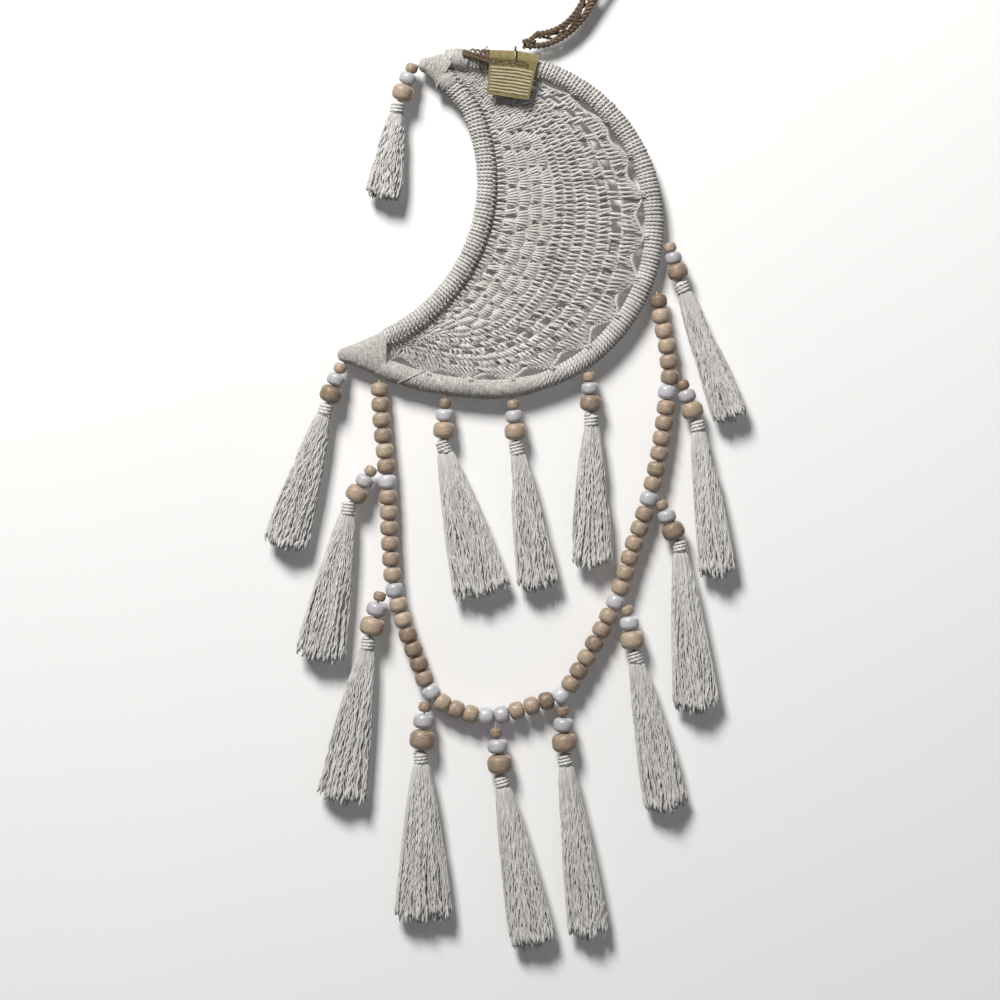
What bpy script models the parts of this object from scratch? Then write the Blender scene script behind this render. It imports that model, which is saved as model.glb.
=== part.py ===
"""Crescent-moon dream catcher: a wire crescent wrapped in cotton cord, filled with
crochet, hung from a doubled cord, with a garland of wooden beads and fourteen
beaded tassels.

World frame: metres, +Z up, the wall behind it is the plane y = 0 and the front
faces -Y.  The origin is on the back of the wrapped frame, at the top of the
moon where the hanging cord is tied.  Constants are millimetres; MM turns them
into metres.
"""

import math

import bpy
from mathutils import Vector

MM = 0.001

# ---------------------------------------------------------------- dimensions
SIDES = 10                      # facets round every cord-like solid
BEAD_SIDES = 8                  # facets round every bead
GAP = 0.35                      # clearance between neighbouring pieces

WRAP_R = 6.6                    # outside radius of the cord wrap
WIRE_R = 1.5                    # bent steel wire inside it
BORE_R = WIRE_R + 0.9           # hollow of the wrap round the wire
MID_Y = -WRAP_R * math.cos(math.pi / SIDES)   # wrap's centre plane: a flat facet lies on y = 0

MOON_C = (-22.5, -105.7)        # centre of the moon's big arc (x, z)
MOON_R = 108.0
MOON_FROM, MOON_TO = 92.0, -95.0          # degrees, clockwise
HOLLOW_C = (-139.9, -76.2)      # centre of the moon's concave arc
HOLLOW_R = 114.4
HOLLOW_FROM, HOLLOW_TO = 20.0, -59.0

# where the two arcs straighten and run together into the horns
OUTER_TOP = [(-63.2, 2.2), (-57.0, 3.7), (-47.0, 4.6)]
OUTER_LOW = [(-48.0, -211.6), (-62.7, -209.2), (-75.9, -205.9), (-89.1, -201.4),
             (-102.3, -196.8), (-115.0, -192.6)]
INNER_LOW = [(-93.4, -180.6), (-103.0, -184.8), (-114.5, -188.8)]
INNER_TOP = [(-36.9, -27.5), (-43.6, -18.9), (-51.6, -10.2), (-57.8, -4.9), (-62.8, -1.6)]
HORN_TOP = (-65.0, 0.3)         # furthest point of the wire in the upper horn
HORN_LOW = (-119.0, -190.9)     # and in the lower horn

# the horn wraps: mouth (centre, half width), tip (end, half width)
TOP_MOUTH, TOP_MOUTH_W = (-51.0, -3.1), 15.4
TOP_TIP, TOP_TIP_W = (-65.6, 0.2), 4.7
LOW_MOUTH, LOW_MOUTH_W = (-91.2, -190.7), 17.6
LOW_TIP, LOW_TIP_W = (-119.0, -190.9), 4.7
TOP_FACE = (-0.86, 0.51)        # way each mouth's wrap leaves it
LOW_FACE = (-1.0, 0.0)

WEB_T = 1.6                     # thickness of the crochet
WEB_SCALLOP = 3.6               # depth of the scallops along the big arc
WEB_SCALLOPS = 15

CORD_R = 0.9                    # garland cord
BEAD_R, BEAD_HALF = 6.0, 5.0    # garland bead: radius, half length
BEAD_BORE = CORD_R + 0.6
GARLAND_Y = -6.6
NATURAL_RUNS = (6, 6, 6, 3, 0, 3, 6, 6, 6, 6)   # natural beads between the white ones
RUN_NAMES = ("left_1", "left_2", "left_3", "bottom_1", "", "bottom_2",
             "right_4", "right_3", "right_2", "right_1")
DRAPE = [(-96.4, -207.8), (-96.2, -212.6), (-95.7, -221.6), (-93.9, -241.9), (-91.1, -270.4),
         (-89.4, -310.5), (-87.1, -340.2), (-81.8, -362.0), (-71.3, -391.0), (-64.0, -410.1),
         (-54.1, -420.8), (-36.3, -427.8), (-21.8, -429.3), (-7.9, -426.6), (12.5, -420.0),
         (24.4, -415.4), (37.0, -396.9), (52.1, -369.3), (61.4, -349.5), (70.6, -319.8),
         (83.2, -280.8), (91.1, -242.0), (93.1, -222.1), (94.2, -211.5), (95.7, -202.9),
         (93.4, -183.1), (90.7, -171.0), (88.9, -161.4), (87.9, -154.6), (86.9, -149.6)]

TASSEL_Y = -7.7
SMALL_R, SMALL_HALF = 4.1, 3.2
WHITE_R, WHITE_HALF = 5.9, 4.1
LARGE_R, LARGE_HALF = 7.2, 5.4
SMALL_TO_WHITE, WHITE_TO_LARGE = 7.7, 10.0
NECK_R, NECK_LEN = 4.6, 9.4
SKIRT_DEPTH = 6.6               # half depth of the spread strands

# small bead (x, z), lean of the beads, lean of the skirt (degrees, + to the right),
# bead spacing, skirt length, half width of the skirt's cut end
TASSELS = {
    "01": ((-74.7, -1.8), -20, -9, 0.97, 55, 12.0),
    "02": ((-122.1, -199.8), -19, -17, 1.02, 89, 15.0),
    "03": ((-52.8, -223.0), -2, 15, 1.00, 95, 19.0),
    "04": ((-7.9, -223.9), 5, 9, 1.00, 88, 13.5),
    "05": ((42.4, -205.6), 3, 0, 0.98, 90, 14.0),
    "06": ((95.8, -120.1), 17, 20.5, 0.94, 87, 11.5),
    "07": ((104.3, -210.8), 20, 8, 1.00, 94, 12.5),
    "08": ((90.3, -290.2), 24, 6, 1.05, 102, 15.0),
    "09": ((67.4, -359.6), 10, 12, 1.12, 97, 15.0),
    "10": ((-101.9, -267.6), -31, -11, 1.00, 96, 16.5),
    "11": ((-95.9, -350.3), -14, -10, 1.15, 99, 16.5),
    "12": ((-66.2, -423.3), -4, 1, 1.22, 101, 19.0),
    "13": ((-19.2, -440.2), 7, 11, 1.17, 104, 15.0),
    "14": ((24.8, -426.0), 3, 8, 1.17, 111, 13.5),
}

HANG_KNOT = (1.0, 12.8)        # knot of the hanging cord above the frame
HANG_R = 2.0
HANG_LOOP = [(7.2, 13.0), (15.0, 14.4), (23.5, 18.2), (31.0, 23.6), (38.0, 31.0), (45.0, 42.0),
             (53.0, 54.5), (62.5, 67.0), (71.5, 77.5), (75.5, 86.5), (72.0, 93.5), (64.5, 93.0),
             (57.5, 84.0), (52.0, 72.5), (46.0, 60.0), (40.4, 47.0), (34.0, 35.5), (27.2, 28.0),
             (20.0, 23.6), (13.2, 21.4), (7.6, 20.8)]
TIE_AT = 0.074                  # share of the big arc, from the top, where the cord is tied round it

TAG_CORNERS = [(-23.1, 9.2), (-3.6, 8.6), (9.2, 5.6), (2.4, -23.8), (-25.0, -19.6)]
TAG_Y, TAG_T = -14.6, 0.6
TAG_HOLE, TAG_HOLE_R = (-6.4, 4.2), 1.7
STRING_R = 0.45
STRING_TOP = (-7.8, 11.2)       # (y, z) of the point it hangs from
STRING_LOOP = [(-7.6, 11.9), (-12.0, 11.6), (-15.6, 9.6), (-16.2, 6.6), (-15.6, 4.7), (-14.6, 4.1),
               (-13.2, 4.9), (-12.1, 6.9), (-10.6, 8.9), (-9.0, 10.1), (-7.6, 10.6)]   # (y, z)


# ---------------------------------------------------------------- small helpers
def clear_scene():
    for obj in list(bpy.data.objects):
        bpy.data.objects.remove(obj, do_unlink=True)


def material(name, rgb, rough, metal=0.0):
    mat = bpy.data.materials.new(name)
    mat.use_nodes = True
    shader = mat.node_tree.nodes["Principled BSDF"]
    shader.inputs["Base Color"].default_value = (*rgb, 1.0)
    shader.inputs["Roughness"].default_value = rough
    shader.inputs["Metallic"].default_value = metal
    mat.diffuse_color = (*rgb, 1.0)
    return mat


def polyline_length(points):
    return sum(math.dist(a, b) for a, b in zip(points, points[1:]))


def resample(points, count):
    """count points at equal arc length along a polyline, ends included."""
    total, out, walked, index = polyline_length(points), [points[0]], 0.0, 0
    for k in range(1, count - 1):
        goal = total * k / (count - 1)
        while walked + math.dist(points[index], points[index + 1]) < goal:
            walked += math.dist(points[index], points[index + 1])
            index += 1
        a, b = points[index], points[index + 1]
        t = (goal - walked) / math.dist(a, b)
        out.append((a[0] + (b[0] - a[0]) * t, a[1] + (b[1] - a[1]) * t))
    return out + [points[-1]]


def spline(points, closed=False, per=8):
    """Catmull-Rom curve through the points."""
    n = len(points)
    out = []
    spans = n if closed else n - 1
    for i in range(spans):
        p1, p2 = points[i], points[(i + 1) % n]
        p0 = points[i - 1] if (closed or i > 0) else (2 * p1[0] - p2[0], 2 * p1[1] - p2[1])
        p3 = points[(i + 2) % n] if (closed or i + 2 < n) else (2 * p2[0] - p1[0], 2 * p2[1] - p1[1])
        for k in range(per):
            t = k / per
            out.append(tuple(
                0.5 * (2 * b + (c - a) * t + (2 * a - 5 * b + 4 * c - d) * t * t
                       + (3 * b - a - 3 * c + d) * t ** 3)
                for a, b, c, d in zip(p0, p1, p2, p3)))
    if not closed:
        out.append(points[-1])
    return out


def arc(centre, radius, first, last, count):
    return [(centre[0] + radius * math.cos(math.radians(first + (last - first) * k / (count - 1))),
             centre[1] + radius * math.sin(math.radians(first + (last - first) * k / (count - 1))))
            for k in range(count)]


def tangents(points, closed=False):
    n = len(points)
    out = []
    for i in range(n):
        a = points[i - 1] if (closed or i > 0) else points[0]
        b = points[(i + 1) % n] if (closed or i < n - 1) else points[-1]
        length = math.dist(a, b)
        out.append(((b[0] - a[0]) / length, (b[1] - a[1]) / length))
    return out


def ring(point, along, half_w, half_d, sides, y):
    """Section of a tube running in the XZ plane: half_w across it in the plane, half_d in depth.
    An edge, not a corner, faces +Y."""
    across = (-along[1], along[0])
    out = []
    for k in range(sides):
        angle = math.radians(90) + 2 * math.pi * (k + 0.5) / sides
        w, d = half_w * math.cos(angle), half_d * math.sin(angle)
        out.append((point[0] + across[0] * w, y + d, point[1] + across[1] * w))
    return out


def loft(rings, closed=False):
    """One closed surface through the rings: capped at both ends, or joined end to end."""
    sides, count = len(rings[0]), len(rings)
    verts = [p for r in rings for p in r]
    faces = []
    for i in range(count if closed else count - 1):
        a, b = i * sides, ((i + 1) % count) * sides
        for k in range(sides):
            k2 = (k + 1) % sides
            faces.append((a + k, a + k2, b + k2, b + k))
    if not closed:
        faces.append(tuple(reversed(range(sides))))
        faces.append(tuple((count - 1) * sides + k for k in range(sides)))
    return verts, faces


def outward(verts, faces):
    """Turns every face round if the surface encloses a negative volume."""
    volume = 0.0
    for face in faces:
        p0 = Vector(verts[face[0]])
        for a, b in zip(face[1:], face[2:]):
            volume += p0.dot(Vector(verts[a]).cross(Vector(verts[b])))
    return faces if volume > 0 else [tuple(reversed(f)) for f in faces]


def add(name, shape, mat, pivot=(0.0, 0.0, 0.0), smooth=True):
    """Named object from (verts, faces) in millimetres, its origin on the pivot."""
    verts, faces = shape
    faces = outward(verts, faces)
    mesh = bpy.data.meshes.new(name)
    mesh.from_pydata([tuple((v[i] - pivot[i]) * MM for i in range(3)) for v in verts], [], faces)
    mesh.update()
    if smooth:
        mesh.shade_smooth()
        mesh.set_sharp_from_angle(angle=math.radians(50))
    mesh.materials.append(mat)
    obj = bpy.data.objects.new(name, mesh)
    obj.location = [c * MM for c in pivot]
    bpy.context.scene.collection.objects.link(obj)
    return obj


def tube(points, radius, sides, y, closed=False):
    return loft([ring(p, t, radius, radius, sides, y)
                 for p, t in zip(points, tangents(points, closed))], closed)


# ---------------------------------------------------------------- moon frame
def outer_path():
    """Big arc from the upper horn clockwise to the lower horn."""
    return (spline(OUTER_TOP + [arc(MOON_C, MOON_R, MOON_FROM, MOON_TO, 40)[0]], per=6)[:-1]
            + arc(MOON_C, MOON_R, MOON_FROM, MOON_TO, 72)
            + spline([arc(MOON_C, MOON_R, MOON_FROM, MOON_TO, 40)[-1]] + OUTER_LOW, per=6)[1:])


def inner_path():
    """Concave arc from the upper horn down to the lower horn."""
    bend = arc(HOLLOW_C, HOLLOW_R, HOLLOW_FROM, HOLLOW_TO, 48)
    return (spline(list(reversed(INNER_TOP)) + [bend[0]], per=6)[:-1] + bend
            + spline([bend[-1]] + INNER_LOW, per=6)[1:])


def beyond(point, origin, normal):
    """Signed distance of a point past a mouth plane, towards the horn."""
    return (point[0] - origin[0]) * normal[0] + (point[1] - origin[1]) * normal[1]


def between_mouths(path, margin):
    """The stretch of a path that lies between the two horn wraps."""
    keep = [p for p in path
            if beyond(p, TOP_MOUTH, TOP_FACE) < -margin or p[1] < -60.0]
    return [p for p in keep if beyond(p, LOW_MOUTH, LOW_FACE) < -margin or p[1] > -150.0]


def slide_to(points, along, origin, normal, gap):
    """Moves a ring along the tube until it lies on a mouth plane, gap short of it."""
    out = []
    for x, y, z in points:
        reach = (-gap - beyond((x, z), origin, normal)) / (along[0] * normal[0] + along[1] * normal[1])
        out.append((x + along[0] * reach, y, z + along[1] * reach))
    return out


def arc_wrap(path, segments):
    """Hollow tube of wrapped cord between the horn wraps, its ends cut to their mouths."""
    clear = between_mouths(path, 6.4)
    points = resample(clear, segments)
    along = tangents(points)

    def shell(radius):
        rings = [ring(p, t, radius, radius, SIDES, MID_Y) for p, t in zip(points, along)]
        first = slide_to(rings[0], along[0], TOP_MOUTH, TOP_FACE, GAP)
        last = slide_to(rings[-1], along[-1], LOW_MOUTH, LOW_FACE, GAP)
        return [first] + rings + [last]

    return loft(shell(WRAP_R) + list(reversed(shell(BORE_R))), closed=True)


def horn_wrap(mouth, mouth_w, tip, tip_w, face, steps=7):
    """Flattened sleeve round both wires, open at the mouth and rounded over at the tip."""
    axis = (tip[0] - mouth[0], tip[1] - mouth[1])
    length = math.hypot(*axis)
    axis = (axis[0] / length, axis[1] / length)

    def section(share, inset, depth, heading):
        w = mouth_w + (tip_w - mouth_w) * share ** 0.8
        p = (mouth[0] + axis[0] * length * share, mouth[1] + axis[1] * length * share)
        return ring(p, heading, w - inset, depth, SIDES, MID_Y)

    def heading(share):
        blend = max(0.0, 1 - 2 * share)
        d = (face[0] * blend + axis[0] * (1 - blend), face[1] * blend + axis[1] * (1 - blend))
        n = math.hypot(*d)
        return (d[0] / n, d[1] / n)

    shares = [k / (steps - 1) for k in range(steps)]
    inner = [section(s, 2.9 - 2.2 * s, 2.8, heading(s)) for s in reversed(shares[:-1])]
    inner_end = ring((tip[0] + axis[0] * 2.4, tip[1] + axis[1] * 2.4), axis, 3.2, 2.1, SIDES, MID_Y)
    inner_mid = section(1.0, 0.7, 2.8, axis)
    outer = [section(s, 0.0, -MID_Y - 0.05 - 0.9 * s, heading(s)) for s in shares]
    caps = []
    for turn in (35, 65):
        reach, shrink = tip_w * math.sin(math.radians(turn)), math.cos(math.radians(turn))
        caps.append(ring((tip[0] + axis[0] * reach, tip[1] + axis[1] * reach), axis,
                         tip_w * shrink, (-MID_Y - 0.95) * shrink, SIDES, MID_Y))
    return loft([inner_end, inner_mid] + inner + outer + caps)


def crescent_wire():
    outer, inner = outer_path(), inner_path()
    loop = (resample(outer, 60) + [HORN_LOW_BEND] + list(reversed(resample(inner, 48)))
            + [HORN_TOP_BEND])
    return tube(loop, WIRE_R, 6, MID_Y, closed=True)


HORN_LOW_BEND = (HORN_LOW[0] + 0.6, HORN_LOW[1] + 0.2)
HORN_TOP_BEND = (HORN_TOP[0] + 0.4, HORN_TOP[1] - 0.1)


def offset(points, distance):
    return [(p[0] - t[1] * distance, p[1] + t[0] * distance)
            for p, t in zip(points, tangents(points))]


def crochet_web(rows=44):
    """Crescent sheet between the arcs, scalloped where it is laced to the big one."""
    clear = WRAP_R + GAP
    outer = resample(offset(between_mouths(outer_path(), 2.0), -clear), 400)
    inner = resample(offset(between_mouths(inner_path(), 2.0), clear), 400)
    outer, inner = outer[14:-6], inner[14:-10]
    edge_out, edge_in = resample(outer, rows), resample(inner, rows)
    verts, faces = [], []
    for k, (a, b) in enumerate(zip(edge_out, edge_in)):
        share = k / (rows - 1)
        dip = WEB_SCALLOP * abs(math.sin(math.pi * WEB_SCALLOPS * share)) * min(1.0, 6 * share, 6 * (1 - share))
        length = math.dist(a, b)
        a = (a[0] + (b[0] - a[0]) * dip / length, a[1] + (b[1] - a[1]) * dip / length)
        for y in (MID_Y - WEB_T / 2, MID_Y + WEB_T / 2):
            verts += [(a[0], y, a[1]), (b[0], y, b[1])]
    for k in range(rows - 1):
        i, j = 4 * k, 4 * k + 4
        faces += [(i, j, j + 1, i + 1), (i + 2, i + 3, j + 3, j + 2),
                  (i, i + 2, j + 2, j), (i + 1, j + 1, j + 3, i + 3)]
    last = 4 * (rows - 1)
    faces += [(0, 1, 3, 2), (last, last + 2, last + 3, last + 1)]
    return verts, faces


# ---------------------------------------------------------------- beads
def bead_half(radius, half, sideways):
    """Half length of a bead's surface at a distance from its axis."""
    return half * 1.07 * (1 - (sideways / radius) ** 2) ** 0.45


def bead_profile(radius, half, hole):
    """(distance along the axis, radius) from end to end of a turned bead."""
    out = []
    for share in (-1.0, -0.62, 0.0, 0.62, 1.0):
        reach = abs(share) * 0.93
        out.append((share * half, radius * (1 - reach ** 2.3) ** 0.5 if abs(share) < 1
                    else max(hole + 0.7, radius * 0.42)))
    return out


def along_path(points):
    """Function from arc length to (point, tangent)."""
    marks = [0.0]
    for a, b in zip(points, points[1:]):
        marks.append(marks[-1] + math.dist(a, b))
    heads = tangents(points)

    def at(s):
        s = min(max(s, 0.0), marks[-1])
        i = max(0, min(len(marks) - 2, next(k for k in range(1, len(marks)) if marks[k] >= s) - 1))
        t = (s - marks[i]) / (marks[i + 1] - marks[i])
        p = tuple(points[i][j] + (points[i + 1][j] - points[i][j]) * t for j in range(2))
        h = tuple(heads[i][j] + (heads[i + 1][j] - heads[i][j]) * t for j in range(2))
        n = math.hypot(*h)
        return p, (h[0] / n, h[1] / n)

    return at, marks[-1]


def threaded(at, centres, half, radius):
    """Beads touching end to end on the garland, bored through: one closed surface."""
    outer, inner = [], []
    for number, s in enumerate(centres):
        for along, r in bead_profile(radius, half, BEAD_BORE):
            if along == -half and number:
                continue
            outer.append(ring(*at(s + along), r, r, BEAD_SIDES, GARLAND_Y))
    for number, s in enumerate([centres[0] - half] + list(centres) + [centres[-1] + half]):
        inner.append(ring(*at(s), BEAD_BORE, BEAD_BORE, BEAD_SIDES, GARLAND_Y))
    return loft(outer + list(reversed(inner)), closed=True)


def build_garland(natural, white, cotton):
    points = spline(DRAPE, per=10)
    at, total = along_path(points)
    hinge = (DRAPE[0][0], GARLAND_Y, DRAPE[0][1])
    beads = sum(NATURAL_RUNS) + len(NATURAL_RUNS) - 1
    first = 5.6
    pitch = (total - first - 5.4) / (beads - 1)
    add("garland_cord", tube(resample(points, 96), CORD_R, 5, GARLAND_Y), cotton, hinge)
    place = 0
    for number, run in enumerate(NATURAL_RUNS):
        if run:
            centres = [first + pitch * (place + k) for k in range(run)]
            half = pitch / 2
            # both ends of a run stop short of the white bead beyond it
            squeeze = (run * pitch - GAP) / (run * pitch)
            middle = sum(centres) / run
            centres = [middle + (c - middle) * squeeze for c in centres]
            add("beads_" + RUN_NAMES[number], threaded(at, centres, half * squeeze, BEAD_R),
                natural, hinge)
        place += run
        if number < len(NATURAL_RUNS) - 1:
            add("white_bead_%d" % (number + 1),
                threaded(at, [first + pitch * place], pitch / 2 - GAP / 2, BEAD_R), white, hinge)
            place += 1


# ---------------------------------------------------------------- tassels
def lean(degrees):
    """Unit vector hanging down, leaning right of vertical by so many degrees."""
    return (math.sin(math.radians(degrees)), -math.cos(math.radians(degrees)))


def step(point, direction, distance):
    return (point[0] + direction[0] * distance, point[1] + direction[1] * distance)


def build_tassel(number, wood, white_wood, cotton):
    small, head_lean, skirt_lean, spacing, length, half_w = TASSELS[number]
    head, fall = lean(head_lean), lean(skirt_lean)
    size = 1 + (spacing - 1) * 0.8
    pivot = (small[0], TASSEL_Y, small[1])
    rings, walked, large_end = [], 0.0, 0.0
    for place, radius, half in ((0.0, SMALL_R, SMALL_HALF),
                                (SMALL_TO_WHITE * spacing, WHITE_R * size, WHITE_HALF * size),
                                ((SMALL_TO_WHITE + WHITE_TO_LARGE) * spacing, LARGE_R * size,
                                 LARGE_HALF * size)):
        for along, r in bead_profile(radius, half, 0.9):
            rings.append(ring(step(small, head, place + along), head, r, r, BEAD_SIDES, TASSEL_Y))
        large_end = place + half
    add("tassel_%s_beads" % number, loft(rings), wood, pivot)
    # the neck's rounded top turns inside its own outline just below the large bead
    neck = step(small, head, large_end + GAP + NECK_R)
    rings = []
    for turn in (72, 40, 0):
        c, s = math.cos(math.radians(turn)), math.sin(math.radians(turn))
        rings.append(ring(step(neck, fall, -NECK_R * s), fall, NECK_R * c, NECK_R * c,
                          BEAD_SIDES, TASSEL_Y))
    rings.append(ring(step(neck, fall, NECK_LEN - NECK_R), fall, NECK_R, NECK_R, BEAD_SIDES, TASSEL_Y))
    for share in (0.1, 0.35, 0.7, 1.0):
        w = NECK_R + (half_w - NECK_R) * share ** 0.85
        d = NECK_R + (SKIRT_DEPTH - NECK_R) * share ** 0.6
        rings.append(ring(step(neck, fall, NECK_LEN - NECK_R + length * share), fall, w, d,
                          BEAD_SIDES, TASSEL_Y))
    add("tassel_%s_skirt" % number, loft(rings), cotton, (neck[0], TASSEL_Y, neck[1]))


# ---------------------------------------------------------------- cord and tag
def build_hanging(brown):
    points = spline(HANG_LOOP, per=3)
    rings = []
    knot = step(HANG_KNOT, (1, 0), 0)
    for along, r in ((-4.0, 1.8), (-2.6, 3.6), (0.0, 4.4), (2.6, 3.9)):
        rings.append(ring(step(knot, (0.995, 0.07), along), (0.995, 0.07), r, r, BEAD_SIDES, MID_Y))
    for p, t in zip(points, tangents(points)):
        rings.append(ring(p, t, HANG_R, HANG_R, BEAD_SIDES, MID_Y))
    add("hanging_cord", loft(rings), brown, (HANG_KNOT[0], MID_Y, HANG_KNOT[1]))
    # two turns of cord lying over the front of the wrap, ending short of the wall and of the crochet
    arc_points = [p for p in outer_path()]
    at, total = along_path(arc_points)
    centre, along = at(total * TIE_AT)
    across = (-along[1], along[0])
    radius, turns = WRAP_R + GAP + 1.5, []
    for k in range(13):
        angle = math.radians(60 + 182 * k / 12)
        mid = (radius * math.sin(angle), radius * math.cos(angle))
        points_k = []
        for j in range(6):
            a = 2 * math.pi * j / 6
            out = 1.5 * math.cos(a)
            r = radius + out
            side = 3.2 * math.sin(a)
            across_mm = r * math.sin(angle)
            points_k.append((centre[0] + across[0] * across_mm + along[0] * side,
                             MID_Y + r * math.cos(angle),
                             centre[1] + across[1] * across_mm + along[1] * side))
        turns.append(points_k)
    add("cord_tie", loft(turns), brown)


def build_tag(kraft, string):
    """Card with a round hole, lying on the front of the frame."""
    count = 20
    loop, hole = [], []
    for k in range(count):
        angle = 2 * math.pi * k / count
        direction = (math.cos(angle), math.sin(angle))
        hole.append(step(TAG_HOLE, direction, TAG_HOLE_R))
        reach = 1e9
        for a, b in zip(TAG_CORNERS, TAG_CORNERS[1:] + TAG_CORNERS[:1]):
            edge = (b[0] - a[0], b[1] - a[1])
            cross = direction[0] * edge[1] - direction[1] * edge[0]
            if abs(cross) < 1e-9:
                continue
            t = ((a[0] - TAG_HOLE[0]) * edge[1] - (a[1] - TAG_HOLE[1]) * edge[0]) / cross
            if t > 0:
                reach = min(reach, t)
        loop.append(step(TAG_HOLE, direction, reach))
    # swing the nearest rim point onto each corner so the card keeps its shape
    for corner in TAG_CORNERS:
        nearest = min(range(count), key=lambda k: math.dist(loop[k], corner))
        loop[nearest] = corner
    front, back = TAG_Y - TAG_T / 2, TAG_Y + TAG_T / 2
    rings = [[(p[0], front, p[1]) for p in hole], [(p[0], front, p[1]) for p in loop],
             [(p[0], back, p[1]) for p in loop], [(p[0], back, p[1]) for p in hole]]
    add("swing_tag", loft(rings, closed=True), kraft, (TAG_HOLE[0], TAG_Y, TAG_HOLE[1] + TAG_HOLE_R),
        smooth=False)
    # the string loops through the hole and up over the frame
    side_view = spline(STRING_LOOP, per=3)
    loop_3d = [(TAG_HOLE[0], y, z) for y, z in side_view]
    rings = []
    for i, p in enumerate(loop_3d):
        a, b = Vector(loop_3d[max(i - 1, 0)]), Vector(loop_3d[min(i + 1, len(loop_3d) - 1)])
        along = (b - a).normalized()
        side = Vector((1.0, 0.0, 0.0))
        up = along.cross(side)
        rings.append([tuple(Vector(p) + side * STRING_R * math.cos(2 * math.pi * j / 6)
                            + up * STRING_R * math.sin(2 * math.pi * j / 6)) for j in range(6)])
    add("tag_string", loft(rings), string, (TAG_HOLE[0],) + STRING_TOP)


# ---------------------------------------------------------------- assembly
def main():
    clear_scene()
    cotton = material("cotton_cord", (0.62, 0.58, 0.52), 0.9)
    crochet = material("crochet_cotton", (0.66, 0.62, 0.56), 0.92)
    strand = material("tassel_cotton", (0.64, 0.61, 0.56), 0.9)
    wood = material("natural_wood", (0.55, 0.38, 0.25), 0.5)
    head_wood = material("tassel_wood", (0.52, 0.36, 0.24), 0.5)
    white = material("white_wood", (0.74, 0.73, 0.78), 0.4)
    brown = material("brown_cord", (0.16, 0.11, 0.07), 0.8)
    thread = material("dark_thread", (0.08, 0.06, 0.05), 0.8)
    kraft = material("kraft_card", (0.42, 0.35, 0.17), 0.85)
    steel = material("frame_wire", (0.45, 0.45, 0.46), 0.35, 1.0)

    add("moon_frame_wire", crescent_wire(), steel)
    add("outer_arc_wrap", arc_wrap(outer_path(), 38), cotton)
    add("inner_arc_wrap", arc_wrap(inner_path(), 26), cotton)
    add("upper_tip_wrap", horn_wrap(TOP_MOUTH, TOP_MOUTH_W, TOP_TIP, TOP_TIP_W, TOP_FACE), cotton)
    add("lower_tip_wrap", horn_wrap(LOW_MOUTH, LOW_MOUTH_W, LOW_TIP, LOW_TIP_W, LOW_FACE), cotton)
    add("crochet_web", crochet_web(), crochet, smooth=False)
    build_hanging(brown)
    build_tag(kraft, thread)
    build_garland(wood, white, cotton)
    for number in TASSELS:
        build_tassel(number, head_wood, white, strand)


main()
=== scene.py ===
import math

import bpy
import numpy as np
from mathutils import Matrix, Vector


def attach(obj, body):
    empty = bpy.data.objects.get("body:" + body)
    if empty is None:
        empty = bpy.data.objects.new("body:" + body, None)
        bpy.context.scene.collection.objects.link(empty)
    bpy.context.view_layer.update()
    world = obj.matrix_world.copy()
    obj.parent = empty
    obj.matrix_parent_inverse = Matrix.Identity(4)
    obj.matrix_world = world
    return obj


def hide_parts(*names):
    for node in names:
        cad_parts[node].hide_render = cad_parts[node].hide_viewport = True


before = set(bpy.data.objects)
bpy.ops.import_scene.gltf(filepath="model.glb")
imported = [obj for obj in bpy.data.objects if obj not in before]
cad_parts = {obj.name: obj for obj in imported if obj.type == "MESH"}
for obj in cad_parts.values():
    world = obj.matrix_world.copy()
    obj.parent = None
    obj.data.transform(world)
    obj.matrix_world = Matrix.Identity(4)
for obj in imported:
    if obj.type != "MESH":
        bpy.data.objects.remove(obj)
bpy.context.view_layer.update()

MM = 0.001
RNG = np.random.default_rng(7)
TAU = 2 * math.pi

# ------------------------------------------------------------------ design (mm, as in the CAD)
WRAP_R = 6.6
MID_Y = -WRAP_R * math.cos(math.pi / 10)
MOON_C, MOON_R, MOON_FROM, MOON_TO = (-22.5, -105.7), 108.0, 92.0, -95.0
HOLLOW_C, HOLLOW_R, HOLLOW_FROM, HOLLOW_TO = (-139.9, -76.2), 114.4, 20.0, -59.0
OUTER_TOP = [(-63.2, 2.2), (-57.0, 3.7), (-47.0, 4.6)]
OUTER_LOW = [(-48.0, -211.6), (-62.7, -209.2), (-75.9, -205.9), (-89.1, -201.4),
             (-102.3, -196.8), (-115.0, -192.6)]
INNER_LOW = [(-93.4, -180.6), (-103.0, -184.8), (-114.5, -188.8)]
INNER_TOP = [(-36.9, -27.5), (-43.6, -18.9), (-51.6, -10.2), (-57.8, -4.9), (-62.8, -1.6)]
TOP_MOUTH, TOP_MOUTH_W, TOP_TIP, TOP_TIP_W = (-51.0, -3.1), 15.4, (-65.6, 0.2), 4.7
LOW_MOUTH, LOW_MOUTH_W, LOW_TIP, LOW_TIP_W = (-91.2, -190.7), 17.6, (-119.0, -190.9), 4.7
TOP_FACE, LOW_FACE = (-0.86, 0.51), (-1.0, 0.0)
BEAD_R, GARLAND_Y = 6.0, -6.6
NATURAL_RUNS = (6, 6, 6, 3, 0, 3, 6, 6, 6, 6)
RUN_NAMES = ("left_1", "left_2", "left_3", "bottom_1", "", "bottom_2",
             "right_4", "right_3", "right_2", "right_1")
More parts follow.
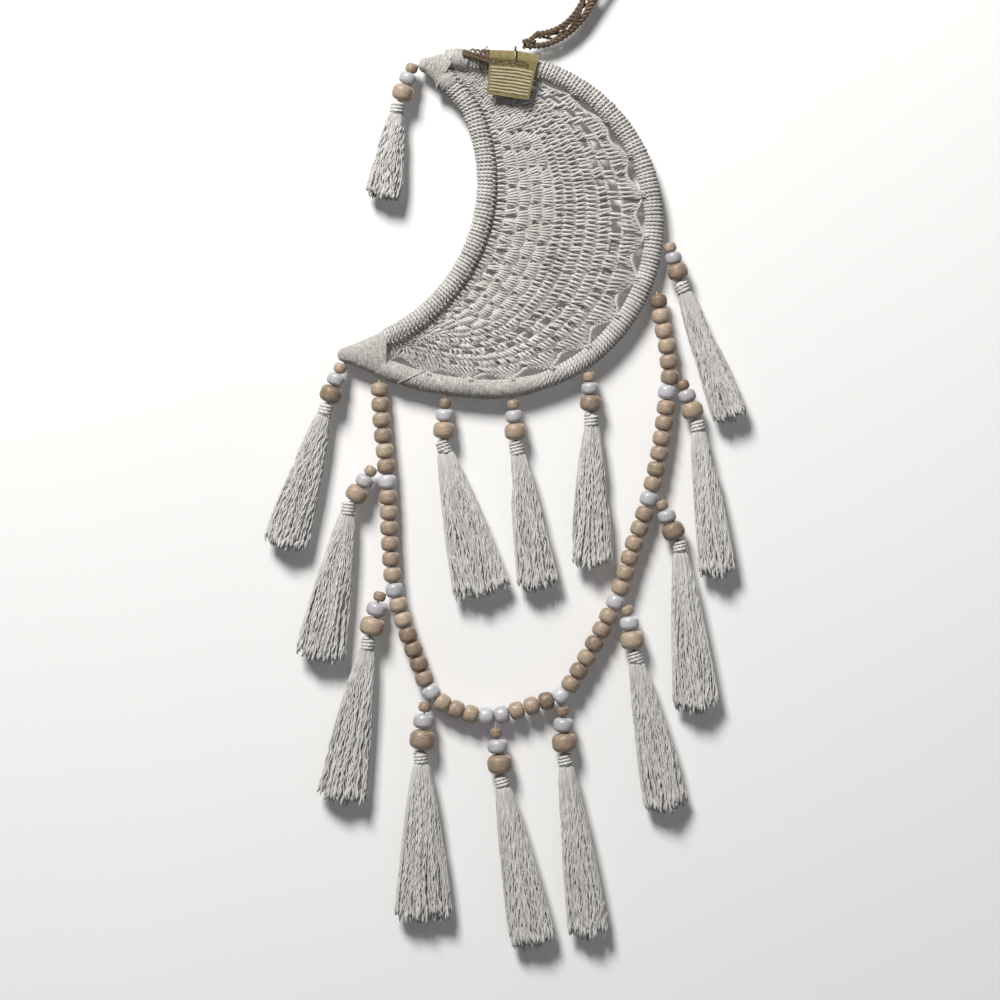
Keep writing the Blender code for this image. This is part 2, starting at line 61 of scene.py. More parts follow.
DRAPE = [(-96.4, -207.8), (-96.2, -212.6), (-95.7, -221.6), (-93.9, -241.9), (-91.1, -270.4),
         (-89.4, -310.5), (-87.1, -340.2), (-81.8, -362.0), (-71.3, -391.0), (-64.0, -410.1),
         (-54.1, -420.8), (-36.3, -427.8), (-21.8, -429.3), (-7.9, -426.6), (12.5, -420.0),
         (24.4, -415.4), (37.0, -396.9), (52.1, -369.3), (61.4, -349.5), (70.6, -319.8),
         (83.2, -280.8), (91.1, -242.0), (93.1, -222.1), (94.2, -211.5), (95.7, -202.9),
         (93.4, -183.1), (90.7, -171.0), (88.9, -161.4), (87.9, -154.6), (86.9, -149.6)]
TASSEL_Y = -7.7
SMALL_R, SMALL_HALF, WHITE_R, WHITE_HALF, LARGE_R, LARGE_HALF = 4.1, 3.2, 5.9, 4.1, 7.2, 5.4
SMALL_TO_WHITE, WHITE_TO_LARGE, NECK_R, NECK_LEN, SKIRT_DEPTH, GAP = 7.7, 10.0, 4.6, 9.4, 6.6, 0.35
TASSELS = {
    "01": ((-74.7, -1.8), -20, -9, 0.97, 55, 12.0),
    "02": ((-122.1, -199.8), -19, -17, 1.02, 89, 15.0),
    "03": ((-52.8, -223.0), -2, 15, 1.00, 95, 19.0),
    "04": ((-7.9, -223.9), 5, 9, 1.00, 88, 13.5),
    "05": ((42.4, -205.6), 3, 0, 0.98, 90, 14.0),
    "06": ((95.8, -120.1), 17, 20.5, 0.94, 87, 11.5),
    "07": ((104.3, -210.8), 20, 8, 1.00, 94, 12.5),
    "08": ((90.3, -290.2), 24, 6, 1.05, 102, 15.0),
    "09": ((67.4, -359.6), 10, 12, 1.12, 97, 15.0),
    "10": ((-101.9, -267.6), -31, -11, 1.00, 96, 16.5),
    "11": ((-95.9, -350.3), -14, -10, 1.15, 99, 16.5),
    "12": ((-66.2, -423.3), -4, 1, 1.22, 101, 19.0),
    "13": ((-19.2, -440.2), 7, 11, 1.17, 104, 15.0),
    "14": ((24.8, -426.0), 3, 8, 1.17, 111, 13.5),
}
FRAME_HUNG = ("01", "02", "03", "04", "05", "06")
HANG_KNOT = (1.0, 12.8)
HANG_LOOP = [(7.2, 13.0), (15.0, 14.4), (23.5, 18.2), (31.0, 23.6), (38.0, 31.0), (45.0, 42.0),
             (53.0, 54.5), (62.5, 67.0), (71.5, 77.5), (75.5, 86.5), (72.0, 93.5), (64.5, 93.0),
             (57.5, 84.0), (52.0, 72.5), (46.0, 60.0), (40.4, 47.0), (34.0, 35.5), (27.2, 28.0),
             (20.0, 23.6), (13.2, 21.4), (7.6, 20.8)]
TIE_AT = 0.074
TAG_CORNERS = [(-23.1, 9.2), (-3.6, 8.6), (9.2, 5.6), (2.4, -23.8), (-25.0, -19.6)]
TAG_Y, TAG_T, TAG_HOLE, TAG_HOLE_R = -14.6, 0.6, (-6.4, 4.2), 1.7
STRING_LOOP = [(-7.6, 11.9), (-12.0, 11.6), (-15.6, 9.6), (-16.2, 6.6), (-15.6, 4.7), (-14.6, 4.1),
               (-13.2, 4.9), (-12.1, 6.9), (-10.6, 8.9), (-9.0, 10.1), (-7.6, 10.6)]


# ------------------------------------------------------------------ path helpers
def spline(points, per=8, closed=False):
    p = np.array(points, float)
    n = len(p)
    out = []
    for i in range(n if closed else n - 1):
        p1, p2 = p[i], p[(i + 1) % n]
        p0 = p[i - 1] if closed or i > 0 else 2 * p1 - p2
        p3 = p[(i + 2) % n] if closed or i + 2 < n else 2 * p2 - p1
        t = (np.arange(per) / per)[:, None]
        out.append(0.5 * (2 * p1 + (p2 - p0) * t + (2 * p0 - 5 * p1 + 4 * p2 - p3) * t ** 2
                          + (3 * p1 - p0 - 3 * p2 + p3) * t ** 3))
    if not closed:
        out.append(p[-1:])
    return np.concatenate(out)


def arc(centre, radius, first, last, count):
    a = np.radians(np.linspace(first, last, count))
    return np.stack([centre[0] + radius * np.cos(a), centre[1] + radius * np.sin(a)], 1)


class Path:
    """Arc-length access to a polyline of any dimension."""

    def __init__(self, points):
        self.p = np.array(points, float)
        d = np.linalg.norm(np.diff(self.p, axis=0), axis=1)
        keep = np.concatenate([[True], d > 1e-6])
        self.p = self.p[keep]
        self.s = np.concatenate([[0], np.cumsum(np.linalg.norm(np.diff(self.p, axis=0), axis=1))])
        self.length = self.s[-1]

    def at(self, s):
        s = np.asarray(s, float)
        return np.stack([np.interp(s, self.s, self.p[:, k]) for k in range(self.p.shape[1])], -1)

    def tangent(self, s, h=1.2):
        s = np.asarray(s, float)
        d = self.at(np.clip(s + h, 0, self.length)) - self.at(np.clip(s - h, 0, self.length))
        return d / np.linalg.norm(d, axis=-1, keepdims=True)


def outer_path():
    ring = arc(MOON_C, MOON_R, MOON_FROM, MOON_TO, 200)
    return Path(np.concatenate([spline(OUTER_TOP + [tuple(ring[0])])[:-1], ring,
                                spline([tuple(ring[-1])] + OUTER_LOW)[1:]]))


def inner_path():
    bend = arc(HOLLOW_C, HOLLOW_R, HOLLOW_FROM, HOLLOW_TO, 120)
    return Path(np.concatenate([spline(list(reversed(INNER_TOP)) + [tuple(bend[0])])[:-1], bend,
                                spline([tuple(bend[-1])] + INNER_LOW)[1:]]))


OUTER, INNER = outer_path(), inner_path()


def lift(xz, y):
    """(n,2) x,z with a y (scalar or array) to (n,3)."""
    xz = np.asarray(xz, float)
    return np.stack([xz[..., 0], np.broadcast_to(y, xz[..., 0].shape), xz[..., 1]], -1)


def unit(v):
    return v / np.maximum(np.linalg.norm(v, axis=-1, keepdims=True), 1e-12)


# ------------------------------------------------------------------ mesh building
class Build:
    """Collects surfaces in millimetres, with a 'fib' vector and a 'tint' per vertex."""

    def __init__(self):
        self.v, self.q, self.t, self.fib, self.tint = [], [], [], [], []
        self.qm, self.tm = [], []
        self.n, self.m = 0, 0

    def add(self, v, quads=None, tris=None, fib=None, tint=0.5):
        v = np.asarray(v, float).reshape(-1, 3)
        if quads is not None and len(quads):
            self.q.append(np.asarray(quads, np.int64) + self.n)
            self.qm.append(np.full(len(quads), self.m))
        if tris is not None and len(tris):
            self.t.append(np.asarray(tris, np.int64) + self.n)
            self.tm.append(np.full(len(tris), self.m))
        self.v.append(v)
        self.fib.append(v if fib is None else np.asarray(fib, float).reshape(-1, 3))
        self.tint.append(np.broadcast_to(tint, (len(v),)).astype(float))
        self.n += len(v)

    def tube(self, path, radius, sides=6, closed=False, tint=0.5, twist=0.25, ends=True, seed=0.0,
             squash=None, normal=None):
        """A tube along a 3D path. radius may vary; squash=(axis vector, factor) flattens the section."""
        p = np.asarray(path, float)
        n = len(p)
        r = np.broadcast_to(np.asarray(radius, float), (n,))
        if closed:
            t = unit(np.roll(p, -1, 0) - np.roll(p, 1, 0))
        else:
            t = unit(np.concatenate([p[1:2] - p[:1], p[2:] - p[:-2], p[-1:] - p[-2:-1]]))
        if normal is not None:
            u = np.asarray(normal, float)
            u = unit(u - t * (u * t).sum(1, keepdims=True))
        else:
            ref = np.array([0.0, 1.0, 0.0]) if abs(t[0, 1]) < 0.9 else np.array([1.0, 0.0, 0.0])
            u = np.empty_like(p)
            u[0] = unit(ref - t[0] * ref.dot(t[0]))
            for i in range(1, n):
                w = u[i - 1] - t[i] * u[i - 1].dot(t[i])
                u[i] = w / math.sqrt(w.dot(w) + 1e-18)
        b = np.cross(t, u)
        a = np.arange(sides) * TAU / sides
        ring = (u[:, None, :] * np.cos(a)[None, :, None] + b[:, None, :] * np.sin(a)[None, :, None])
        off = ring * r[:, None, None]
        if squash is not None:
            ax, f = unit(np.asarray(squash[0], float)), squash[1]
            off = off - (1 - f) * (off @ ax)[..., None] * ax
        v = (p[:, None, :] + off).reshape(-1, 3)
        s = np.concatenate([[0], np.cumsum(np.linalg.norm(np.diff(p, axis=0), axis=1))])
        th = a[None, :] + twist * s[:, None]
        fib = np.stack([np.broadcast_to(s[:, None] * 0.18 + seed, (n, sides)),
                        np.cos(th) * 1.1 + seed, np.sin(th) * 1.1], -1)
        i = np.arange(n if closed else n - 1)[:, None] * sides
        j = (np.arange(n if closed else n - 1)[:, None] + 1) % n * sides
        k = np.arange(sides)[None, :]
        k2 = (k + 1) % sides
        q = np.stack([i + k, i + k2, j + k2, j + k], -1).reshape(-1, 4)
        tris = None
        if ends and not closed:
            v = np.concatenate([v, (p[0] - t[0] * r[0] * 0.5)[None], (p[-1] + t[-1] * r[-1] * 0.5)[None]])
            fib = np.concatenate([fib.reshape(-1, 3), fib[0, 0][None], fib[-1, 0][None]])
            c0, c1 = n * sides, n * sides + 1
            base = (n - 1) * sides
            kk = np.arange(sides)
            tris = np.concatenate([np.stack([(kk + 1) % sides, kk, np.full(sides, c0)], 1),
                                   np.stack([base + kk, base + (kk + 1) % sides, np.full(sides, c1)], 1)])
        self.add(v, q, tris, fib, tint)

    def tubes(self, P, radius, sides=5, tint=0.5, twist=0.5, ends=True):
        """Many tubes with the same number of points at once: P is (tubes, points, 3)."""
        P = np.asarray(P, float)
        n, m = P.shape[:2]
        r = np.broadcast_to(np.asarray(radius, float), (n, m))
        t = unit(np.concatenate([P[:, 1:2] - P[:, :1], P[:, 2:] - P[:, :-2], P[:, -1:] - P[:, -2:-1]], 1))
        u = np.empty_like(P)
        flat = np.abs(t[:, 0, 1]) < 0.9
        ref = np.where(flat[:, None], np.array([[0.0, 1.0, 0.0]]), np.array([[1.0, 0.0, 0.0]]))
        u[:, 0] = unit(ref - t[:, 0] * (ref * t[:, 0]).sum(1, keepdims=True))
        for i in range(1, m):
            u[:, i] = unit(u[:, i - 1] - t[:, i] * (u[:, i - 1] * t[:, i]).sum(1, keepdims=True))
        b = np.cross(t, u)
        a = np.arange(sides) * TAU / sides
        v = P[:, :, None] + (u[:, :, None] * np.cos(a)[None, None, :, None]
                             + b[:, :, None] * np.sin(a)[None, None, :, None]) * r[:, :, None, None]
        d = np.linalg.norm(np.diff(P, axis=1), axis=2)
        s = np.concatenate([np.zeros((n, 1)), np.cumsum(d, 1)], 1)
        seed = RNG.random(n)[:, None, None] * 40
        th = a[None, None] + twist * s[:, :, None]
        fib = np.stack([np.broadcast_to(s[:, :, None] * 0.18 + seed, th.shape),
                        np.cos(th) * 1.1 + seed, np.sin(th) * 1.1], -1)
        base = (np.arange(n) * m * sides)[:, None, None]
        i = (np.arange(m - 1) * sides)[None, :, None]
        k = np.arange(sides)[None, None]
        k2 = (k + 1) % sides
        q = np.stack([base + i + k, base + i + k2, base + i + sides + k2, base + i + sides + k], -1).reshape(-1, 4)
        tint = np.broadcast_to(np.asarray(tint, float), (n,))
        tints = np.repeat(tint, m * sides)
        V, F = v.reshape(-1, 3), fib.reshape(-1, 3)
        tris = None
        if ends:
            c0 = P[:, 0] - t[:, 0] * r[:, 0, None] * 0.6
            c1 = P[:, -1] + t[:, -1] * r[:, -1, None] * 0.6
            V = np.concatenate([V, c0, c1])
            F = np.concatenate([F, fib[:, 0, 0], fib[:, -1, 0]])
            tints = np.concatenate([tints, tint, tint])
            kk = np.arange(sides)[None]
            first = np.arange(n)[:, None] * m * sides
            last = first + (m - 1) * sides
            a0 = (n * m * sides + np.arange(n))[:, None]
            tris = np.concatenate([
                np.stack([first + (kk + 1) % sides, first + kk, np.broadcast_to(a0, (n, sides))], -1).reshape(-1, 3),
                np.stack([last + kk, last + (kk + 1) % sides, np.broadcast_to(a0 + n, (n, sides))], -1).reshape(-1, 3)])
        self.add(V, q, tris, F, tints)

    def ply(self, path, gap, radius, pitch, plies=2, sides=5, phase=0.0, tint=0.5, jitter=0.04, seed=0.0,
            closed=False):
        """A twisted cord: plies tubes winding round a 3D path."""
        p = np.asarray(path, float)
        n = len(p)
        t = unit(np.concatenate([p[1:2] - p[:1], p[2:] - p[:-2], p[-1:] - p[-2:-1]]))
        u = np.empty_like(p)
        ref = np.array([0.0, 1.0, 0.0]) if abs(t[0, 1]) < 0.9 else np.array([1.0, 0.0, 0.0])
        u[0] = unit(ref - t[0] * ref.dot(t[0]))
        for i in range(1, n):
            w = u[i - 1] - t[i] * u[i - 1].dot(t[i])
            u[i] = w / math.sqrt(w.dot(w) + 1e-18)
        b = np.cross(t, u)
        s = np.concatenate([[0], np.cumsum(np.linalg.norm(np.diff(p, axis=0), axis=1))])
        g = np.broadcast_to(np.asarray(gap, float), (n,))
        for k in range(plies):
            a = TAU * (s / pitch + k / plies) + phase
            c = p + (u * np.cos(a)[:, None] + b * np.sin(a)[:, None]) * g[:, None]
            self.tube(c, radius, sides, tint=tint + RNG.normal(0, jitter), twist=0.5,
                      seed=seed + k * 3.1 + RNG.random() * 9)

    def lathe(self, centre, axis, profile, segs=20, tint=0.5, seed=0.0, spin=0.0, closed=True):
        """Turned form about an axis: profile is (distance along, radius); closed joins last to first."""
        axis = unit(np.asarray(axis, float))
        ref = np.array([0.0, 1.0, 0.0]) if abs(axis[1]) < 0.9 else np.array([1.0, 0.0, 0.0])
        u = unit(np.cross(axis, ref))
        w = np.cross(axis, u)
        pr = np.asarray(profile, float)
        a = np.arange(segs) * TAU / segs + spin
        circle = np.cos(a)[:, None] * u + np.sin(a)[:, None] * w
        v = (np.asarray(centre, float) + pr[:, 0][:, None, None] * axis
             + pr[:, 1][:, None, None] * circle[None])
        local = np.stack([np.broadcast_to(pr[:, 0][:, None], (len(pr), segs)),
                          pr[:, 1][:, None] * np.cos(a)[None], pr[:, 1][:, None] * np.sin(a)[None]], -1)
        n = len(pr)
        i = np.arange(n if closed else n - 1)[:, None] * segs
        j = (np.arange(n if closed else n - 1)[:, None] + 1) % n * segs
        k = np.arange(segs)[None]
        k2 = (k + 1) % segs
        q = np.stack([i + k, i + k2, j + k2, j + k], -1).reshape(-1, 4)
        self.add(v, q, None, local * 1.0 + seed, tint)

    def grid(self, v, tint=0.5, fib=None, wrap=False):
        """Rows x columns of points as a sheet; wrap closes the columns."""
        v = np.asarray(v, float)
        n, m = v.shape[:2]
        i = np.arange(n - 1)[:, None] * m
        k = np.arange(m if wrap else m - 1)[None]
        k2 = (k + 1) % m
        q = np.stack([i + k, i + k2, i + m + k2, i + m + k], -1).reshape(-1, 4)
        self.add(v, q, None, fib, tint)

    def make(self, name, mat, body, nodes=(), slot=None, smooth=True):
        mats = mat if isinstance(mat, (list, tuple)) else [mat]
        v = np.concatenate(self.v) * MM
        q = np.concatenate(self.q) if self.q else np.zeros((0, 4), int)
        t = np.concatenate(self.t) if self.t else np.zeros((0, 3), int)
        mesh = bpy.data.meshes.new(name)
        mesh.vertices.add(len(v))
        mesh.vertices.foreach_set("co", v.astype(np.float32).ravel())
        loops = np.concatenate([q.ravel(), t.ravel()]).astype(np.int32)
        mesh.loops.add(len(loops))
        mesh.loops.foreach_set("vertex_index", loops)
        count = np.concatenate([np.full(len(q), 4), np.full(len(t), 3)]).astype(np.int32)
        start = np.concatenate([[0], np.cumsum(count)[:-1]]).astype(np.int32)
        mesh.polygons.add(len(count))
        mesh.polygons.foreach_set("loop_start", start)
        index = np.concatenate([*self.qm, *self.tm]).astype(np.int32)
        mesh.polygons.foreach_set("material_index", index)
        mesh.update(calc_edges=True)
        mesh.validate()
        if smooth:
            mesh.shade_smooth()
        a = mesh.attributes.new("fib", "FLOAT_VECTOR", "POINT")
        a.data.foreach_set("vector", np.concatenate(self.fib).astype(np.float32).ravel())
        a = mesh.attributes.new("tint", "FLOAT", "POINT")
        a.data.foreach_set("value", np.concatenate(self.tint).astype(np.float32))
        for one in mats:
            mesh.materials.append(one)
        obj = bpy.data.objects.new(name, mesh)
        bpy.context.scene.collection.objects.link(obj)
        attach(obj, body)
        if nodes:
            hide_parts(*nodes)
        return obj


# ------------------------------------------------------------------ materials
class Nodes:
    def __init__(self, name):
        self.mat = bpy.data.materials.new(name)
        self.mat.use_nodes = True
        self.nt = self.mat.node_tree
        self.bsdf = self.nt.nodes["Principled BSDF"]

    def new(self, kind, **values):
        node = self.nt.nodes.new(kind)
        for key, value in values.items():
            if key in node.inputs:
                node.inputs[key].default_value = value
            else:
                setattr(node, key, value)
        return node

    def link(self, a, b):
        self.nt.links.new(a, b)

    def attr(self, name):
        return self.new("ShaderNodeAttribute", attribute_name=name)

    def scaled(self, socket, x, y, z):
        m = self.new("ShaderNodeVectorMath", operation="MULTIPLY")
        self.link(socket, m.inputs[0])
        m.inputs[1].default_value = (x, y, z)
        return m.outputs[0]

    def noise(self, vec, scale, detail=3.0, rough=0.55, distort=0.0):
        n = self.new("ShaderNodeTexNoise")
        n.inputs["Scale"].default_value = scale
        n.inputs["Detail"].default_value = detail
        n.inputs["Roughness"].default_value = rough
        n.inputs["Distortion"].default_value = distort
        self.link(vec, n.inputs["Vector"])
        return n.outputs["Fac"]

    def ramp(self, fac, stops):
        r = self.new("ShaderNodeValToRGB")
        el = r.color_ramp.elements
        while len(el) < len(stops):
            el.new(0.5)
        for e, (pos, col) in zip(el, stops):
            e.position = pos
            e.color = (*col, 1.0)
        self.link(fac, r.inputs["Fac"])
        return r.outputs["Color"]

    def mix(self, fac, a, b, kind="MIX"):
        m = self.new("ShaderNodeMix", data_type="RGBA", blend_type=kind)
        for sock, val in ((m.inputs[0], fac), (m.inputs[6], a), (m.inputs[7], b)):
            if isinstance(val, bpy.types.NodeSocket):
                self.link(val, sock)
            elif isinstance(val, (int, float)):
                sock.default_value = val
            else:
                sock.default_value = (*val, 1.0)
        return m.outputs[2]

    def math(self, op, a, b=None, clamp=False):
        m = self.new("ShaderNodeMath", operation=op)
        m.use_clamp = clamp
        for sock, val in zip(m.inputs, (a, b)):
            if val is None:
                continue
            if isinstance(val, bpy.types.NodeSocket):
                self.link(val, sock)
            else:
                sock.default_value = val
        return m.outputs[0]

    def bump(self, height, strength, distance, normal=None):
        b = self.new("ShaderNodeBump")
        b.inputs["Strength"].default_value = strength
        b.inputs["Distance"].default_value = distance
        self.link(height, b.inputs["Height"])
        if normal is not None:
            self.link(normal, b.inputs["Normal"])
        return b.outputs["Normal"]

    def out(self, colour=None, rough=None, normal=None, **values):
        for key, value in values.items():
            self.bsdf.inputs[key].default_value = value
        for key, socket in (("Base Color", colour), ("Roughness", rough), ("Normal", normal)):
            if isinstance(socket, bpy.types.NodeSocket):
                self.link(socket, self.bsdf.inputs[key])
            elif socket is not None:
                self.bsdf.inputs[key].default_value = socket
        return self.mat


def yarn_material(name, dark, mid, light, sheen=0.25, rough=0.92, fibre=0.6, stain=None):
    """Spun cotton: fibres running along the twist, per-strand tint, soft blotches in world space."""
    m = Nodes(name)
    fib, tint = m.attr("fib").outputs["Vector"], m.attr("tint").outputs["Fac"]
    fine = m.noise(fib, 3.2, 4.0, 0.6)
    geo = m.new("ShaderNodeTexCoord").outputs["Object"]
    blotch = m.noise(geo, 90.0, 2.0, 0.5)
    blend = m.math("ADD", m.math("MULTIPLY", fine, 0.55), m.math("MULTIPLY", blotch, 0.25))
    blend = m.math("ADD", blend, m.math("MULTIPLY", tint, 0.30), clamp=True)
    colour = m.ramp(blend, [(0.28, dark), (0.52, mid), (0.80, light)])
    normal = None
    if stain is not None:
        # pilled, brushed surface: fine speckle, a few darker specks, small tufts that catch the light
        grain = m.noise(geo, 620.0, 4.0, 0.72)
        spread = m.math("SUBTRACT", m.math("MULTIPLY", grain, 2.6), 0.62, clamp=True)
        colour = m.mix(m.math("SUBTRACT", 1.0, spread), colour, stain)
        tufts = m.math("GREATER_THAN", m.noise(geo, 1500.0, 2.0, 0.6), 0.62)
        colour = m.mix(m.math("MULTIPLY", tufts, 0.45), colour, light)
        normal = m.bump(grain, 0.7, 0.0012)
    normal = m.bump(fine, fibre, 0.0006, normal)
    return m.out(colour, rough, normal, **{"Sheen Weight": sheen, "Sheen Roughness": 0.5,
                                           "Specular IOR Level": 0.25})


def wood_material(name, dark, mid, light, rough=0.42, coat=0.15, grain=1.0):
    """Turned bead: growth rings across the bead and fine pores."""
    m = Nodes(name)
    fib, tint = m.attr("fib").outputs["Vector"], m.attr("tint").outputs["Fac"]
    stretched = m.scaled(fib, 0.75, 0.22, 0.30)
    rings = m.noise(stretched, 1.6, 5.0, 0.62, 0.8)
    fine = m.noise(m.scaled(fib, 3.6, 0.5, 0.8), 1.6, 3.0, 0.6)
    lines = m.new("ShaderNodeTexWave", wave_type="BANDS", bands_direction="X")
    lines.inputs["Scale"].default_value = 0.55
    lines.inputs["Distortion"].default_value = 5.0
    lines.inputs["Detail"].default_value = 3.0
    lines.inputs["Detail Scale"].default_value = 0.7
    m.link(m.scaled(fib, 0.9, 0.25, 0.3), lines.inputs["Vector"])
    f = m.math("ADD", m.math("MULTIPLY", rings, 0.42), m.math("MULTIPLY", lines.outputs["Fac"], 0.24 * grain))
    f = m.math("ADD", f, m.math("MULTIPLY", fine, 0.16))
    f = m.math("ADD", f, m.math("MULTIPLY", m.math("SUBTRACT", tint, 0.5), 0.6), clamp=True)
    colour = m.ramp(f, [(0.22, dark), (0.42, mid), (0.62, light)])
    pores = m.math("GREATER_THAN", m.noise(m.scaled(fib, 6.0, 1.0, 1.2), 1.3, 1.0, 0.4), 0.67)
    colour = m.mix(m.math("MULTIPLY", pores, 0.35 * grain), colour, dark)
    r = m.math("ADD", m.math("MULTIPLY", fine, 0.25), rough - 0.1)
    normal = m.bump(m.math("ADD", fine, m.math("MULTIPLY", pores, -0.6)), 0.25 * grain, 0.0003)
    return m.out(colour, r, normal, **{"Coat Weight": coat, "Coat Roughness": 0.25,
                                       "Specular IOR Level": 0.45})


COTTON = yarn_material("wrap_cotton", (0.27, 0.25, 0.23), (0.57, 0.55, 0.52), (0.84, 0.825, 0.80))
SMOOTH = yarn_material("tip_cotton", (0.30, 0.28, 0.255), (0.60, 0.575, 0.54), (0.82, 0.80, 0.76),
                       fibre=0.8, stain=(0.23, 0.21, 0.19))
CROCHET = yarn_material("crochet_cotton", (0.26, 0.24, 0.22), (0.58, 0.555, 0.525), (0.85, 0.83, 0.80))
STRAND = yarn_material("tassel_cotton", (0.30, 0.285, 0.265), (0.61, 0.595, 0.57), (0.86, 0.85, 0.83),
                       sheen=0.3)
BROWN = yarn_material("brown_cord", (0.040, 0.026, 0.014), (0.125, 0.086, 0.050), (0.28, 0.205, 0.125),
                      sheen=0.15, rough=0.8)
THREAD = yarn_material("dark_thread", (0.012, 0.009, 0.008), (0.030, 0.022, 0.018), (0.06, 0.05, 0.04),
                       sheen=0.1, rough=0.7)
WAXED = yarn_material("garland_thread", (0.30, 0.24, 0.17), (0.50, 0.43, 0.33), (0.62, 0.55, 0.44),
                      sheen=0.1, rough=0.7)
WOOD = wood_material("natural_wood", (0.075, 0.042, 0.026), (0.26, 0.178, 0.118), (0.62, 0.50, 0.38), grain=1.5)
PAINTED = wood_material("white_wood", (0.40, 0.39, 0.415), (0.55, 0.545, 0.575), (0.68, 0.675, 0.70),
                        rough=0.34, coat=0.3, grain=0.25)


# ------------------------------------------------------------------ cord wraps
def beyond(p, origin, normal):
    return (p[..., 0] - origin[0]) * normal[0] + (p[..., 1] - origin[1]) * normal[1]


def mouth_span(path):
    """(first, last) arc length of a path between the two horn mouths."""
    s = np.linspace(0, path.length, 2000)
    p = path.at(s)
    ok = ((beyond(p, TOP_MOUTH, TOP_FACE) < 0) | (p[:, 1] < -60)) & \
         ((beyond(p, LOW_MOUTH, LOW_FACE) < 0) | (p[:, 1] > -150))
    return s[ok][0], s[ok][-1]


def cord_wrap(build, path, first, last, pitch=2.45, cord=1.3, lean=0.0, seed=0.0, steps=30, fade=None):
    """Two-ply cord wound round the wire, turn against turn; it sinks under the close winding over fade."""
    turns = (last - first) / pitch
    n = int(turns * steps)
    s = np.linspace(first, last, n)
    # turns are not perfectly even
    wobble = np.interp(s, np.linspace(first, last, int(turns) + 2),
                       RNG.normal(0, 0.20, int(turns) + 2))
    phi = TAU * (s - first) / pitch
    radial = WRAP_R - cord + 0.10 + np.interp(s, np.linspace(first, last, int(turns * 3) + 2),
                                              RNG.normal(0, 0.14, int(turns * 3) + 2))
    if fade is not None:
        radial = radial - 1.6 * np.clip((s - fade[0]) / (fade[1] - fade[0]), 0, 1) ** 1.5
    along = path.tangent(s)
    across = np.stack([-along[:, 1], along[:, 0]], 1)
    centre = path.at(np.clip(s + wobble + lean * np.cos(phi), 0, path.length))
    normal3 = across[:, [0, 0, 1]] * np.array([1, 0, 1]) * np.cos(phi)[:, None] \
        + np.array([0, 1, 0]) * np.sin(phi)[:, None]
    p = lift(centre, MID_Y) + normal3 * radial[:, None]
    t = unit(np.gradient(p, axis=0))
    side = np.cross(t, normal3)
    length = np.concatenate([[0], np.cumsum(np.linalg.norm(np.diff(p, axis=0), axis=1))])
    for k in range(2):
        psi = TAU * (length / 5.6 + k / 2)
        c = p + (normal3 * np.cos(psi)[:, None] * 0.46 + side * np.sin(psi)[:, None] * 0.50)
        tint = 0.5 + np.interp(s, np.linspace(first, last, int(turns) * 2), RNG.normal(0, 0.13, int(turns) * 2))
        build.tube(c, 0.80, 5, twist=0.9, seed=seed + k * 5, normal=normal3,
                   tint=np.concatenate([np.repeat(tint, 5), [0.5, 0.5]]))


def smooth_wrap(build, path, first, last, radius=6.42, seed=0.0, grow=0.0, sides=44, step=0.4, pitch=2.2):
    """Cord wound so close and brushed so flat that only low, uneven ribs are left."""
    n = int((last - first) / step)
    s = np.linspace(first, last, n)
    phi = np.arange(sides) * TAU / sides
    S, P = np.meshgrid(s, phi, indexing="ij")
    noise = RNG.normal(0, 1, (n, sides))
    for _ in range(2):
        noise = (noise + np.roll(noise, 1, 1) + np.roll(noise, -1, 1)) / 3
        noise[1:-1] = (noise[1:-1] + noise[2:] + noise[:-2]) / 3
    ribs = 0.11 * np.sin(TAU * S / pitch + P * 1.0)
    r = radius + ribs + noise * 0.40
    if grow:
        # it comes up from under the coarse turns little by little
        r = r - 1.5 * (1 - np.clip((S - first) / grow, 0, 1)) ** 1.2
    along = path.tangent(S.ravel()).reshape(n, sides, 2)
    c = path.at(S.ravel()).reshape(n, sides, 2)
    across = np.stack([-along[..., 1], along[..., 0]], -1)
    v = lift(c + across * (r * np.cos(P))[..., None], MID_Y + r * np.sin(P) * 0.985)
    fib = np.stack([S * 1.5 + seed, np.cos(P) * 1.3 + S * 0.15, np.sin(P) * 1.3], -1)
    build.grid(v, 0.5 + noise.ravel() * 0.5, fib.reshape(-1, 3), wrap=True)


def seam_sleeve(build, path, first, last, slant=16.0, radius=6.72, sides=44, rows=70):
    """Close winding that runs on from the lower horn and ends on a slant, its edge turned under."""
    phi = np.arange(sides) * TAU / sides
    start = first + slant * (0.5 + 0.5 * np.cos(phi))
    share = np.linspace(0, 1, rows)[:, None]
    S = start[None] + (last - start[None]) * share
    P = np.broadcast_to(phi[None], S.shape)
    noise = RNG.normal(0, 1, S.shape)
    for _ in range(2):
        noise = (noise + np.roll(noise, 1, 1) + np.roll(noise, -1, 1)) / 3
    r = radius + 0.08 * np.sin(TAU * S / 2.1) + noise * 0.18
    r[0], r[1] = radius - 0.9, radius - 0.1
    along = path.tangent(S.ravel()).reshape(rows, sides, 2)
    c = path.at(S.ravel()).reshape(rows, sides, 2)
    across = np.stack([-along[..., 1], along[..., 0]], -1)
    v = lift(c + across * (r * np.cos(P))[..., None], MID_Y + r * np.sin(P) * 0.95)
    fib = np.stack([S * 1.5 + 11.0, np.cos(P) * 1.3 + S * 0.15, np.sin(P) * 1.3], -1)
    build.grid(v, 0.55 + noise.ravel() * 0.5, fib.reshape(-1, 3), wrap=True)
    edge = v[1] + (v[1] - lift(c[1], MID_Y)) * 0.03
    build.tube(edge, 0.5, 6, closed=True, tint=0.95)


